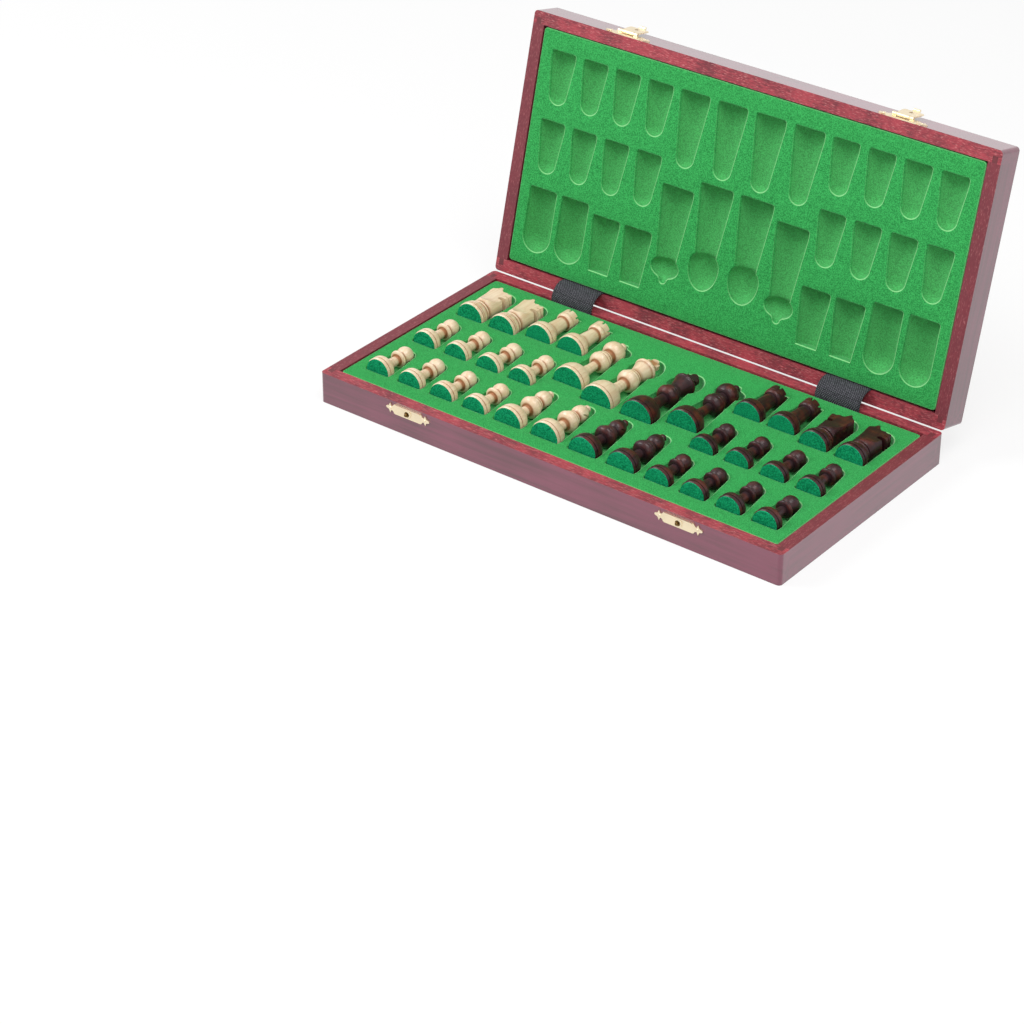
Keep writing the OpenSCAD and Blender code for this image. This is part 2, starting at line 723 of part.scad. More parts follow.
// Hasp hanging straight down from its pin, which lies along X through the origin
module hasp() {
    difference() {
        union() {
            barrel(-hasp_neck/2, hasp_neck/2);
            rotate([90, 0, 0]) translate([0, 0, -hasp_thick/2]) linear_extrude(height = hasp_thick)
                polygon(concat(hasp_side(1), reversed(hasp_side(-1))));
            translate([0, hasp_thick/2 - curl_r, -hasp_length]) barrel(-tab_width/2, tab_width/2, curl_r);
        }
        translate([0, past, -hasp_reach]) rotate([90, 0, 0]) cylinder(r = nub_r + nub_play, h = 2*past);
        pin_bore();
    }
}

// Places a hasp on the lid; the lid is drawn as a base here, so up in it is down when shut
module raised_hasp(side) {
    color(brass) as_lid() translate([side*clasp_x, -half_d - pin_out, hasp_plate_z])
        rotate([-hasp_lean, 0, 0]) hasp();
}

module hasp_pins() {
    color(brass) as_lid() for (x = [-clasp_x, clasp_x])
        translate([x, -half_d - pin_out, hasp_plate_z]) barrel(-loop_end, loop_end, pin_r);
}

// ---- Pieces by node

color(stain) long_wall(-1, true) nail_holes(strike_z);  // base_front_wall
color(stain) long_wall(1);  // base_back_wall
color(stain) short_wall(-1);  // base_left_wall
color(stain) short_wall(1);  // base_right_wall
color(stain) board_panel(1);  // base_panel
color(light_wood) light_cells(1);  // base_light_squares
color(flock) tray();  // base_tray
color(stain) as_lid() long_wall(-1, true) nail_holes(hasp_plate_z);  // lid_front_wall
color(stain) as_lid() long_wall(1);  // lid_back_wall
color(stain) as_lid() short_wall(-1);  // lid_left_wall
color(stain) as_lid() short_wall(1);  // lid_right_wall
color(stain) as_lid() board_panel(0);  // lid_panel
color(light_wood) as_lid() light_cells(0);  // lid_light_squares
color(flock) as_lid() tray();  // lid_tray
strap_tabs();  // strap_base_tabs
strap_lower_leaves();
strap_upper_leaves();
as_lid() strap_tabs();  // strap_lid_tabs
strike_plates();
color(brass) nails_at(strike_z) nail();  // base_clasp_nails
color(brass) as_lid() nails_at(hasp_plate_z) nail();  // lid_clasp_nails
color(brass) as_lid() translate([-clasp_x, -half_d, hasp_plate_z]) hasp_plate();  // left_hasp_plate
color(brass) as_lid() translate([clasp_x, -half_d, hasp_plate_z]) hasp_plate();  // right_hasp_plate
raised_hasp(-1);  // left_hasp
raised_hasp(1);  // right_hasp
hasp_pins();
for (index = [0:len(MEN) - 1]) {
    lying_man(index, -1);
    lying_man(index, 1);
}
felts(-1);  // white_felts
felts(1);  // black_felts
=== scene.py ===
"""Dresses the chess box: lacquered wood, printed board, flocked trays, webbing, brass and the men."""

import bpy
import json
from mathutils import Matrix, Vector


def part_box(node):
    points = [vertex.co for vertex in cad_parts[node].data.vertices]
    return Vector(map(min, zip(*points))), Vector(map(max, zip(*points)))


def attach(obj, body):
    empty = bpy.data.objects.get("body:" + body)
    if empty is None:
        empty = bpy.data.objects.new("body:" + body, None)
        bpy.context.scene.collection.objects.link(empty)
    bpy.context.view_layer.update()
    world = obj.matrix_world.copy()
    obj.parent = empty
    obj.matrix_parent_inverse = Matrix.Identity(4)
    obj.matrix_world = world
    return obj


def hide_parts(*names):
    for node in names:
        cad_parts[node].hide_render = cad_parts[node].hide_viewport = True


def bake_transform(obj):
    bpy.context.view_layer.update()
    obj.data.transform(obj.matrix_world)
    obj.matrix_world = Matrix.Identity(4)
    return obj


bl_info = {
    "name": "Folding chess box",
    "version": (1, 0, 0),
    "blender": (4, 5, 0),
    "location": "3D View > Sidebar > Chess box",
    "description": "Builds the visible surfaces of a folding chess box around its construction model",
    "category": "Object",
}

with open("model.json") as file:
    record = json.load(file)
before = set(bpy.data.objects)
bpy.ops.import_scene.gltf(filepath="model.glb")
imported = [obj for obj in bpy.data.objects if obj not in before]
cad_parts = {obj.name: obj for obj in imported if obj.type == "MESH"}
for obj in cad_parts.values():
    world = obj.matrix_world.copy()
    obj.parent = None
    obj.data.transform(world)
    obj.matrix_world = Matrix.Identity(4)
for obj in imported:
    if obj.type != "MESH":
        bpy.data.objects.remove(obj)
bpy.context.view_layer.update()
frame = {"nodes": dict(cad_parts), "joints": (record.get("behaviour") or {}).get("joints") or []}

import bisect
import json
import math

import bpy
from bpy.props import FloatProperty, FloatVectorProperty, PointerProperty
from mathutils import Matrix, Vector, geometry

MM = 0.001
FILES = 8
HALF_RANKS = 4
KINDS = ("pawn", "bishop", "knight", "rook", "queen", "king")
# Mesh attributes that the finishes of the men and of the trays read: how deep a corner lies in a crease,
# which the men's wood darkens as painted shade, and how much paler the flock is painted as painted highlight
# and painted light
CREASE = "crease"
PAINTED_SHEEN = "worn"
# Length of a strike plate, and radius of the nub on its boss, which is painted darker as painted shade
PLATE_LENGTH = 40 * MM
BOSS = 2.2 * MM
# Depth in front of a strike plate's back, past which only its boss stands
BOSS_START = 0.9 * MM
# Size of the font that gives letters one unit high
FONT_SIZE = 1.38


# ---------------------------------------------------------------- sizes and colours

def millimetres(value, name, description):
    return FloatProperty(name=name, description=description, default=value * MM, unit="LENGTH",
                         precision=4, min=0.0)


def number(value, name, description, unit="NONE"):
    return FloatProperty(name=name, description=description, default=value, unit=unit)


def paint(value, name, description):
    return FloatVectorProperty(name=name, description=description, default=value, size=3,
                               subtype="COLOR", min=0.0, max=1.0)


def srgb(red, green, blue):
    """Linear colour of a screen colour given from 0 to 255."""
    def linear(c):
        return c / 12.92 if c <= 0.04045 else ((c + 0.055) / 1.055) ** 2.4

    return tuple(linear(c / 255) for c in (red, green, blue))


class BoardSizes(bpy.types.PropertyGroup):
    """Layout of the playing board on the outer faces"""
    square: millimetres(40, "Square", "Side of one square")
    narrow: millimetres(9, "Narrow strip", "Width of the chequered strip around the squares")
    label: millimetres(19, "Label strip", "Width of the strip with letters and numbers")
    seam: millimetres(2, "Hinge margin", "Plain margin along the hinge edge")
    line: millimetres(1.2, "Burnt line", "Width of the burnt lines")
    cap: millimetres(7.4, "Letter height", "Height of the letters and numbers")
    ink: millimetres(0.05, "Letter relief", "How far the letters stand off the board")
    bold: millimetres(0.12, "Letter weight", "How much the letters' strokes are widened")


class TraySizes(bpy.types.PropertyGroup):
    """Room in the formed trays, as in the construction model"""
    foot_play: millimetres(0.8, "Foot play", "Play around a foot in its pocket")
    heel: millimetres(2, "Heel", "Felt and play behind the wood of a foot")
    head_play: millimetres(1.2, "Head play", "Play around the smaller heads")
    pawn_ball: millimetres(6.6, "Pawn's ball", "Radius of a pawn's ball")
    bishop_mitre: millimetres(6.4, "Bishop's mitre", "Radius of a bishop's mitre")
    rook_crown: millimetres(7.4, "Rook's crown", "Radius of a rook's crown")
    collar: millimetres(8.7, "Queen's waist", "Radius of the queen's pocket at its waist")
    king_collar: millimetres(9.2, "King's waist", "Radius of the king's pocket at its waist")
    crown: millimetres(12.2, "Queen's hollow", "Radius of the hollow around the queen's head")
    king_crown: millimetres(13, "King's hollow", "Radius of the hollow around the king's head")
    room: millimetres(6.4, "Foot room", "Straight stretch of each pocket around the foot")
    heel_round: millimetres(2, "Heel edge", "Rounding between a pocket's heel and its side")
    lip: millimetres(0.9, "Pocket edge", "Radius of the pockets' edges")
    rim: millimetres(0.9, "Tray edge", "Radius of the tray's outer edge")
    shrink: millimetres(0.2, "Shrinkage", "How far the tray's edge stays inside the construction model's")
    corner: millimetres(3, "Tray corner", "Corner radius of the tray")
    skirt: millimetres(6, "Skirt", "Depth of skirt that is modelled below the tray's edge")


class StrapSizes(bpy.types.PropertyGroup):
    """Webbing of the hinge straps"""
    thickness: millimetres(0.8, "Webbing", "Thickness of the webbing")
    tuck: millimetres(8, "Tuck", "Length of webbing that is modelled beside the tray")
    rise: millimetres(3.4, "Rise", "Height of the strap's arch above its chord")
    rib: millimetres(0.9, "Rib", "Spacing of the weave's ribs")


class KnightSizes(bpy.types.PropertyGroup):
    """Turned foot and carved head of the knights"""
    height: millimetres(46, "Height", "Height of a knight with its felt")
    felt: millimetres(1, "Felt", "Thickness of its felt")
    foot: millimetres(11.8, "Foot", "Radius of the foot")
    band: millimetres(4.4, "Band", "Height of the foot's upright band")
    groove: millimetres(0.7, "Groove", "Depth of the turned grooves and width of the saw cuts")
    neck: millimetres(8.6, "Ring", "Radius of the ring under the head")
    dome: millimetres(11.4, "Dome", "Height at which the ring starts")
    width: millimetres(12, "Head", "Width of the head over both cheeks")
    ear_gap: millimetres(5.4, "Ear gap", "Width of the groove between the ears")
    eye: millimetres(1.1, "Eye", "Radius of the eye's dimple")


class Finishes(bpy.types.PropertyGroup):
    """Colours of the finishes"""
    lacquer: paint(srgb(124, 46, 74), "Lacquered stain", "Outer walls under gloss lacquer")
    lacquer_dark: paint(srgb(84, 30, 46), "Stain grain", "Dark grain of the outer walls")
    rim_red: paint(srgb(162, 54, 66), "Sawn rim", "Rims and inner faces, stained but matt")
    rim_dark: paint(srgb(104, 32, 44), "Rim grain", "Dark grain of the rims")
    rim_fleck: paint(srgb(222, 150, 148), "Rim fleck", "Bare fibres of the rims")
    end_grain: paint(srgb(92, 32, 38), "End grain", "Ends of the tongues in the rims")
    square_dark: paint(srgb(96, 50, 52), "Dark squares", "Dark squares of the board")
    square_red: paint(srgb(140, 66, 50), "Reddish figure", "Red figure in the dark squares")
    veneer: paint(srgb(233, 207, 184), "Light squares", "Pale veneer")
    veneer_grain: paint(srgb(222, 180, 140), "Veneer figure", "Warm figure in the veneer")
    burnt: paint(srgb(46, 30, 34), "Burnt line", "Burnt lines, letters and numbers")
    flock: paint(srgb(48, 152, 76), "Flock", "Flocked trays")
    # Painted highlight: this pale flock colour stands in for light on the pockets' lips and the tray's edge,
    # and lifts the shade in the hollows
    flock_worn: paint(srgb(150, 222, 150), "Worn flock", "Thin flock on the pockets' lips")
    felt: paint(srgb(0, 146, 98), "Felt", "Felts under the men")
    white_wood: paint(srgb(234, 211, 180), "White men", "Pale wood of the white men")
    white_grain: paint(srgb(220, 186, 148), "White grain", "Grain of the white men")
    # Painted shade: the crease colour darkens the men's necks and grooves where shade falls
    white_crease: paint(srgb(160, 100, 58), "White creases", "Wax and shade in the white men's creases")
    black_wood: paint(srgb(38, 15, 20), "Black men", "Dark stain of the black men")
    black_grain: paint(srgb(62, 25, 28), "Black grain", "Grain of the black men")
    black_edge: paint(srgb(112, 48, 34), "Black men's edges", "Thin stain on the black men's edges")
    brass: paint(srgb(240, 224, 192), "Brass", "Hasps, plates and nails")
    # Painted shade: the boss and nub of each strike plate are painted in this darker brass
    brass_dark: paint(srgb(112, 88, 52), "Dull brass", "Bosses of the strike plates")
    webbing: paint(srgb(20, 20, 26), "Webbing", "Black straps")
    webbing_fleck: paint(srgb(120, 120, 128), "Webbing fleck", "Pale fibres of the straps")


class Studio(bpy.types.PropertyGroup):
    """Camera and light"""
    camera: FloatVectorProperty(name="Camera", description="Place of the camera", size=3, unit="LENGTH",
                                default=(1.1325, -1.5874, 1.1387))
    azimuth: number(37.936, "Azimuth", "Side from which the camera looks, in degrees")
    elevation: number(31.799, "Elevation", "Camera's height in degrees")
    roll: number(0.077, "Roll", "Camera's roll in degrees")
    lens: number(109.246, "Lens", "Focal length on a 36 mm sensor, in mm")
    sky: number(0.36, "Sky", "Strength of the even light from all sides")
    key: number(31, "Key", "Power of the large lamp at the upper left", "POWER")
    top: number(16, "Top", "Power of the large lamp overhead", "POWER")
    fill: number(7, "Fill", "Power of the lamp beside the camera", "POWER")


SETTINGS = {"chess_board": BoardSizes, "chess_trays": TraySizes, "chess_straps": StrapSizes,
            "chess_knights": KnightSizes, "chess_finishes": Finishes, "chess_studio": Studio}


# ---------------------------------------------------------------- places read from the frame

def joint(name):
    return next(j for j in frame["joints"] if j["name"] == name)


BOX_LOW, BOX_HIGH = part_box("base_panel")
RIM_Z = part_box("base_front_wall")[1].z
PANEL_Z = BOX_HIGH.z
HINGE = Vector(joint("lid_hinge")["pos_m"])
OPEN = -math.radians(joint("lid_hinge")["range_deg"][0])
TRAY_LOW, TRAY_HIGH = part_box("base_tray")

# Turns a point of the base over into the open lid
TO_LID = (Matrix.Translation((0, HINGE.y, HINGE.z)) @ Matrix.Rotation(-OPEN, 4, "X")
          @ Matrix.Translation((0, -HINGE.y, HINGE.z)) @ Matrix.Scale(-1, 4, (0, 0, 1)))
# Directions of each half: along the hinge, from the clasps to the hinge, and from board face to rim
BASE_AXES = (Vector((1, 0, 0)), Vector((0, 1, 0)), Vector((0, 0, 1)))
LID_AXES = tuple((TO_LID.to_3x3() @ axis).normalized() for axis in BASE_AXES)
HALVES = {"base": (Matrix.Identity(4), BASE_AXES), "lid": (TO_LID, LID_AXES)}
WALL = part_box("base_front_wall")[1].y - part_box("base_front_wall")[0].y


def half_middle(axes):
    """Middle of a half's outer face."""
    return next(to_half.translation for to_half, used in HALVES.values() if used == axes)


# ---------------------------------------------------------------- shader expressions

class Wire:
    """A number or colour in a material, which takes part in expressions."""

    def __init__(self, shader, socket):
        self.shader, self.socket = shader, socket

    def maths(self, operation, *others):
        return self.shader.make("ShaderNodeMath", {"operation": operation},
                                {i: v for i, v in enumerate((self, *others))})

    def flipped(self, operation, other):
        return self.shader.make("ShaderNodeMath", {"operation": operation}, {0: other, 1: self})

    def __add__(self, other):
        return self.maths("ADD", other)

    def __sub__(self, other):
        return self.maths("SUBTRACT", other)

    def __rsub__(self, other):
        return self.flipped("SUBTRACT", other)

    def __mul__(self, other):
        return self.maths("MULTIPLY", other)

    def __truediv__(self, other):
        return self.maths("DIVIDE", other)

    def __rtruediv__(self, other):
        return self.flipped("DIVIDE", other)

    def __gt__(self, other):
        return self.maths("GREATER_THAN", other)

    def __lt__(self, other):
        return self.maths("LESS_THAN", other)

    __radd__, __rmul__ = __add__, __mul__


class Nodes:
    """Shader nodes under construction."""

    def __init__(self, tree):
        self.tree = tree

    def make(self, kind, settings, inputs, output=0):
        """Adds one node: its settings first, then its inputs; gives the output asked for."""
        node = self.tree.nodes.new(kind)
        for name, value in settings.items():
            setattr(node, name, value)
        for name, value in inputs.items():
            if isinstance(value, Wire):
                self.tree.links.new(value.socket, node.inputs[name])
            else:
                node.inputs[name].default_value = value
        return Wire(self, node.outputs[output])

    def seen(self):
        """1 for what the camera or a glossy surface sees, and 0 for other rays."""
        camera, glossy = (self.make("ShaderNodeLightPath", {}, {}, f"Is {kind} Ray")
                          for kind in ("Camera", "Glossy"))
        return camera.maths("MAXIMUM", glossy)


class Shader(Nodes):
    """A material under construction."""

    def __init__(self, name, **constants):
        self.material = bpy.data.materials.new(name)
        self.material.use_nodes = True
        super().__init__(self.material.node_tree)
        self.surface = self.tree.nodes["Principled BSDF"]
        for socket, value in constants.items():
            self.surface.inputs[socket.replace("_", " ")].default_value = value
        self.place = self.make("ShaderNodeTexCoord", {}, {}, "Object")

    def feed(self, socket, wire):
        self.tree.links.new(wire.socket, self.surface.inputs[socket])

    def finish(self, colour, relief=None, depth=0.0, strength=1.0):
        """Material with this colour, and with a relief that is depth metres deep."""
        self.feed("Base Color", colour)
        if relief is not None:
            self.feed("Normal", self.bumped(relief, depth, strength))
        return self.material

    def dot(self, axis, source=None):
        return self.make("ShaderNodeVectorMath", {"operation": "DOT_PRODUCT"},
                         {0: source or self.place, 1: tuple(axis)}, "Value")

    def stretched(self, axes, sizes):
        """Place in the directions of axes, with each divided by its size in metres."""
        parts = [self.dot(axis) / size for axis, size in zip(axes, sizes)]
        return self.make("ShaderNodeCombineXYZ", {}, dict(enumerate(parts)))

    def noise(self, place, scale=1.0, detail=3.0, rough=0.5, distortion=0.0):
        return self.make("ShaderNodeTexNoise", {}, {"Vector": place, "Scale": scale, "Detail": detail,
                                                    "Roughness": rough, "Distortion": distortion})

    def blend(self, factor, low, high):
        """Colour that goes from low to high with the factor."""
        node = self.tree.nodes.new("ShaderNodeMix")
        node.data_type = "RGBA"
        for socket, value in (("Factor", factor), ("A", low), ("B", high)):
            slot = next(s for s in node.inputs if s.name == socket and s.enabled and
                        s.type == ("VALUE" if socket == "Factor" else "RGBA"))
            if isinstance(value, Wire):
                self.tree.links.new(value.socket, slot)
            else:
                slot.default_value = (*value, 1) if socket != "Factor" else value
        return Wire(self, next(s for s in node.outputs if s.enabled and s.type == "RGBA"))

    def clamped(self, wire, low, high):
        """0 below low and 1 above high, with a smooth step between."""
        return self.make("ShaderNodeMapRange", {"interpolation_type": "SMOOTHSTEP"},
                         {"Value": wire, "From Min": low, "From Max": high})

    def bumped(self, height, depth, strength=1.0):
        """Normal of a relief that is depth metres deep where the height goes from 0 to 1."""
        return self.make("ShaderNodeBump", {}, {"Height": height * depth, "Distance": 1.0,
                                                "Strength": strength})


def lacquered_wood(name, axes, along, colours, coat=1.0, roughness=0.32):
    """Stained wood under gloss lacquer, with its grain along one of the half's axes."""
    low, high = colours
    sizes = [0.004, 0.004, 0.004]
    sizes[along] = 0.09
    s = Shader(name, Roughness=roughness, Coat_Weight=coat, Coat_Roughness=0.06, Coat_IOR=1.55)
    fibre = s.noise(s.stretched(axes, sizes), 1.0, 5.0, 0.6, 0.4)
    pores = s.noise(s.stretched(axes, [size / 5 for size in sizes]), 1.0, 2.0)
    cloud = s.noise(s.place, 14.0, 2.0)
    tone = s.clamped(fibre * 0.5 + cloud * 0.5, 0.3, 0.62)
    s.feed("Roughness", fibre * 0.12 + (roughness - 0.06))
    return s.finish(s.blend(tone * 0.85 + pores * 0.15, low, high), fibre * 0.6 + pores * 0.4, 0.00006)


def sawn_rim(name, axes, along, finishes):
    """Stained but unpolished edge: matt, with short streaks and pale bare fibres along the board.
    The side boards' rims end in tongues, whose ends show darker end grain."""
    sizes = [0.0011, 0.0011, 0.0011]
    sizes[along] = 0.006
    s = Shader(name, Roughness=0.62, Coat_Weight=0.1, Coat_Roughness=0.4)
    streak = s.noise(s.stretched(axes, sizes), 1.0, 5.0, 0.7, 0.4)
    fibre = s.noise(s.stretched(axes, [size / 2 for size in sizes]), 1.0, 2.0, 0.6)
    cloud = s.noise(s.place, 40.0, 3.0)
    tone = s.clamped(streak * 0.55 + cloud * 0.45, 0.38, 0.6) * (1 if along == 0 else 0.15)
    stain = s.blend(tone, finishes.rim_dark, finishes.rim_red)
    colour = s.blend(s.clamped(fibre, 0.54, 0.72) * (0.45 if along == 0 else 0.25), stain,
                     finishes.rim_fleck)
    if along == 1:
        ends = s.dot(axes[1], s.place) - axes[1].dot(half_middle(axes))
        tongue = (ends.maths("ABSOLUTE") > BOX_HIGH.y - WALL) * s.clamped(streak, 0.3, 0.6)
        colour = s.blend(tongue * 0.8, colour, finishes.end_grain)
    return s.finish(colour, streak, 0.00012)


def dark_squares(name, axes, finishes):
    """Dark mahogany face of the board; each cell is cut from another place in the wood."""
    board = bpy.context.scene.chess_board
    s = Shader(name, Roughness=0.3, Coat_Weight=1.0, Coat_Roughness=0.05, Coat_IOR=1.55)
    column = (s.dot(axes[0]) / board.square).maths("FLOOR")
    row = ((s.dot(axes[1]) - (BOX_HIGH.y - board.seam)) / board.square).maths("FLOOR")
    cell = s.make("ShaderNodeCombineXYZ", {}, {0: column, 1: row})
    shift = s.make("ShaderNodeTexWhiteNoise", {"noise_dimensions": "3D"}, {"Vector": cell}, "Color")
    place = s.make("ShaderNodeVectorMath", {"operation": "MULTIPLY_ADD"},
                   {0: shift, 1: (7, 7, 7), 2: s.stretched(axes, (0.02, 0.006, 0.02))})
    figure = s.noise(place, 1.0, 5.0, 0.6, 1.6)
    fibre = s.noise(s.stretched(axes, (0.03, 0.0016, 0.01)), 1.0, 4.0, 0.6)
    red = s.clamped(figure, 0.52, 0.72)
    colour = s.blend(red, finishes.square_dark, finishes.square_red)
    return s.finish(s.blend(s.clamped(fibre, 0.3, 0.7) * 0.35, colour, finishes.lacquer_dark),
                    fibre, 0.00003)


def pale_veneer(name, axes, finishes):
    """Pale veneer of the light squares, with a warm figure."""
    s = Shader(name, Roughness=0.3, Coat_Weight=0.8, Coat_Roughness=0.06, Coat_IOR=1.5)
    figure = s.noise(s.stretched(axes, (0.06, 0.012, 0.02)), 1.0, 4.0, 0.55, 0.8)
    fibre = s.noise(s.stretched(axes, (0.03, 0.0011, 0.01)), 1.0, 3.0, 0.6)
    tone = s.clamped(figure, 0.42, 0.78) * 0.35 + s.clamped(fibre, 0.5, 0.8) * 0.2
    return s.finish(s.blend(tone, finishes.veneer, finishes.veneer_grain), fibre, 0.00002)


def burnt_wood(name, finishes):
    """Scorched lines and letters: nearly black, browner where the iron was cooler."""
    s = Shader(name, Roughness=0.5, Coat_Weight=0.7, Coat_Roughness=0.1)
    heat = s.noise(s.place, 600.0, 3.0)
    return s.finish(s.blend(s.clamped(heat, 0.5, 0.8) * 0.5, finishes.burnt, finishes.square_red))


def flocking(name, colour, contrast=0.3, sheen=1.0, worn=None):
    """Short flock: fine grain and no shine, but paler where it is seen along its pile. Where the mesh's
    attribute says so, it is painted paler: painted highlight on edges and painted light in hollows.
    """
    s = Shader(name, Roughness=0.95, Specular_IOR_Level=0.1, Sheen_Weight=sheen, Sheen_Roughness=0.3,
               Sheen_Tint=(*[0.45 + 0.55 * c ** 0.5 for c in colour], 1))
    fine = s.noise(s.place, 1300.0, 1.0, 0.5)
    clumps = s.noise(s.place, 300.0, 2.0, 0.5)
    tone = s.clamped(fine * 0.85 + clumps * 0.15, 0.36, 0.64)
    pile = s.blend(tone, [c * (1 - contrast) for c in colour], [c * (1 + contrast) + 0.01 for c in colour])
    # Painted highlight and painted light: the flock blends towards the pale colour where the mesh's
    # attribute is high
    if worn:
        pile = s.blend(s.make("ShaderNodeAttribute", {"attribute_name": PAINTED_SHEEN}, {}, "Fac"), pile, worn)
    return s.finish(pile, fine * 0.7 + clumps * 0.3, 0.0003, 0.6)


def turned_wood(name, low, high, crease, edge=None, gloss=0.5):
    """Wood of the men, with grain along each man as it lies along Y, and painted shade that darkens its
    creases towards the crease colour.
    """
    s = Shader(name, Roughness=0.42, Coat_Weight=gloss, Coat_Roughness=0.2, Coat_IOR=1.5,
               Specular_IOR_Level=gloss)
    fibre = s.noise(s.stretched(BASE_AXES, (0.0022, 0.03, 0.0022)), 1.0, 4.0, 0.6, 0.5)
    pores = s.noise(s.stretched(BASE_AXES, (0.0006, 0.006, 0.0006)), 1.0, 2.0)
    tone = s.clamped(fibre * 0.75 + pores * 0.25, 0.38, 0.66)
    colour = s.blend(tone * 0.8, low, high)
    # Painted shade: how deep each corner lies in a crease, darkening it towards the crease colour
    hollow = s.make("ShaderNodeAttribute", {"attribute_name": CREASE}, {}, "Fac")
    if edge:
        worn = s.clamped(s.noise(s.place, 110.0, 2.0, 0.5), 0.46, 0.72)
        colour = s.blend(worn * 0.45, colour, edge)
    colour = s.blend(hollow * 0.9, colour, crease)
    return s.finish(colour, fibre, 0.00005)


def bright_brass(name, colour):
    """Plated brass, a little scuffed and tarnished."""
    s = Shader(name, Metallic=1.0, Roughness=0.3)
    scuff = s.noise(s.place, 900.0, 4.0, 0.65)
    tarnish = s.noise(s.place, 140.0, 3.0)
    s.feed("Roughness", scuff * 0.3 + 0.2)
    tone = s.blend(s.clamped(tarnish, 0.4, 0.75) * 0.4, colour, [c * 0.78 for c in colour])
    return s.finish(tone, scuff, 0.00004)


def woven_webbing(name, finishes, straps):
    """Plain-woven black webbing with ribs across the strap and pale fibres."""
    s = Shader(name, Roughness=0.8, Specular_IOR_Level=0.3)
    across = s.dot((1, 0, 0)) / straps.rib
    length = s.dot((0, 0.78, 0.63)) / straps.rib
    weave = ((across * math.pi).maths("SINE") * (length * math.pi).maths("SINE")) * 0.5 + 0.5
    fuzz = s.noise(s.place, 1500.0, 3.0, 0.7)
    fleck = s.clamped(weave * 0.35 + fuzz * 0.65, 0.42, 0.72)
    return s.finish(s.blend(fleck * 0.75, finishes.webbing, finishes.webbing_fleck),
                    weave * 0.8 + fuzz * 0.2, 0.0003)


# ---------------------------------------------------------------- small helpers

def piece(name, mesh, *materials):
    """Object of the mesh in the scene, with its materials."""
    new = bpy.data.objects.new(name, mesh)
    bpy.context.scene.collection.objects.link(new)
    for material in materials:
        mesh.materials.append(material)
    return new


def mesh_of(name, vertices, faces, smooth=True):
    mesh = bpy.data.meshes.new(name)
    mesh.from_pydata([tuple(v) for v in vertices], [], faces)
    mesh.validate()
    if smooth:
        mesh.shade_smooth()
    return mesh


def repaint(node, *materials, choose=None, smooth=False):
    """Gives a construction node its finishes; choose tells which one a face takes."""
    mesh = frame["nodes"][node].data
    mesh.materials.clear()
    for material in materials:
        mesh.materials.append(material)
    for face in mesh.polygons:
        face.material_index = choose(face) if choose else 0
        face.use_smooth = smooth
    return frame["nodes"][node]


def applied(target):
    """Mesh of an object with its modifiers applied."""
    bpy.context.view_layer.update()
    return bpy.data.meshes.new_from_object(target.evaluated_get(bpy.context.evaluated_depsgraph_get()))


def soften(node, width, chosen=None, segments=2):
    """Rounds the hard edges of a construction node a little: the chosen ones, or else all."""
    target = frame["nodes"][node]
    bevel = target.modifiers.new("Softened edges", "BEVEL")
    bevel.width, bevel.segments = width, segments
    bevel.limit_method, bevel.angle_limit = "WEIGHT" if chosen else "ANGLE", math.radians(40)
    if chosen:
        mesh = target.data
        weights = mesh.attributes.new("bevel_weight_edge", "FLOAT", "EDGE")
        for edge, weight in zip(mesh.edges, weights.data):
            ends = [mesh.vertices[k].co for k in edge.vertices]
            weight.value = 1.0 if chosen(ends) else 0.0


def smooth_by_angle(target, degrees):
    """Smooth faces that keep their edges sharper than the angle."""
    target.data.set_sharp_from_angle(angle=math.radians(degrees))


# ---------------------------------------------------------------- wood and board

class CHESS_OT_wood(bpy.types.Operator):
    """Lacquers the walls and panels, leaves the rims matt and burns the board's lines"""
    bl_idname = "chess.wood"
    bl_label = "Finish wood and board"

    def execute(self, context):
        finishes = context.scene.chess_finishes
        gloss = (finishes.lacquer_dark, finishes.lacquer)
        burnt = burnt_wood("burnt_lines", finishes)
        for half, (to_half, axes) in HALVES.items():
            inward = axes[2]
            for wall, along in (("front", 0), ("back", 0), ("left", 1), ("right", 1)):
                node = f"{half}_{wall}_wall"
                out = {"front": -axes[1], "back": axes[1], "left": -axes[0], "right": axes[0]}[wall]
                repaint(node, lacquered_wood(f"{half}_{wall}_lacquer", axes, along, gloss),
                        sawn_rim(f"{half}_{wall}_sawn", axes, along, finishes),
                        choose=lambda face: 1 if face.normal.dot(inward) > 0.7
                        or face.normal.dot(out) < -0.7 else 0)
                soften(node, 0.5 * MM, lambda ends: self.on_outside(ends, to_half, RIM_Z))
            outside = to_half @ Vector((0, 0, BOX_LOW.z))
            repaint(f"{half}_panel", dark_squares(f"{half}_dark_squares", axes, finishes), burnt,
                    lacquered_wood(f"{half}_panel_edge", axes, 0, gloss),
                    choose=lambda face: self.panel_finish(face, axes, outside))
            soften(f"{half}_panel", 1.2 * MM, lambda ends: self.on_outside(ends, to_half, BOX_LOW.z), 3)
            repaint(f"{half}_light_squares", pale_veneer(f"{half}_light_squares", axes, finishes))
        return {"FINISHED"}

    @staticmethod
    def on_outside(ends, to_half, level):
        """Does the edge run round the outside of a half, at this level of the base?"""
        for end in ends:
            place = to_half.inverted() @ end
            from_side = min(BOX_HIGH.x - abs(place.x), BOX_HIGH.y - abs(place.y))
            if abs(place.z - level) > 0.01 * MM or from_side > 1 * MM or place.y > BOX_HIGH.y - 0.1 * MM:
                return False
        return (ends[0] - ends[1]).length > 0.01 * MM

    @staticmethod
    def panel_finish(face, axes, outside):
        """0 on the face of the board, 1 in its burnt lines and 2 on its edges."""
        depth = (face.center - outside).dot(axes[2])
        turned = abs(face.normal.dot(axes[2]))
        if turned < 0.5:
            return 1 if depth < PANEL_Z * 0.3 else 2
        return 0 if depth < 0.05 * MM else 1 if depth < 0.45 * MM else 2


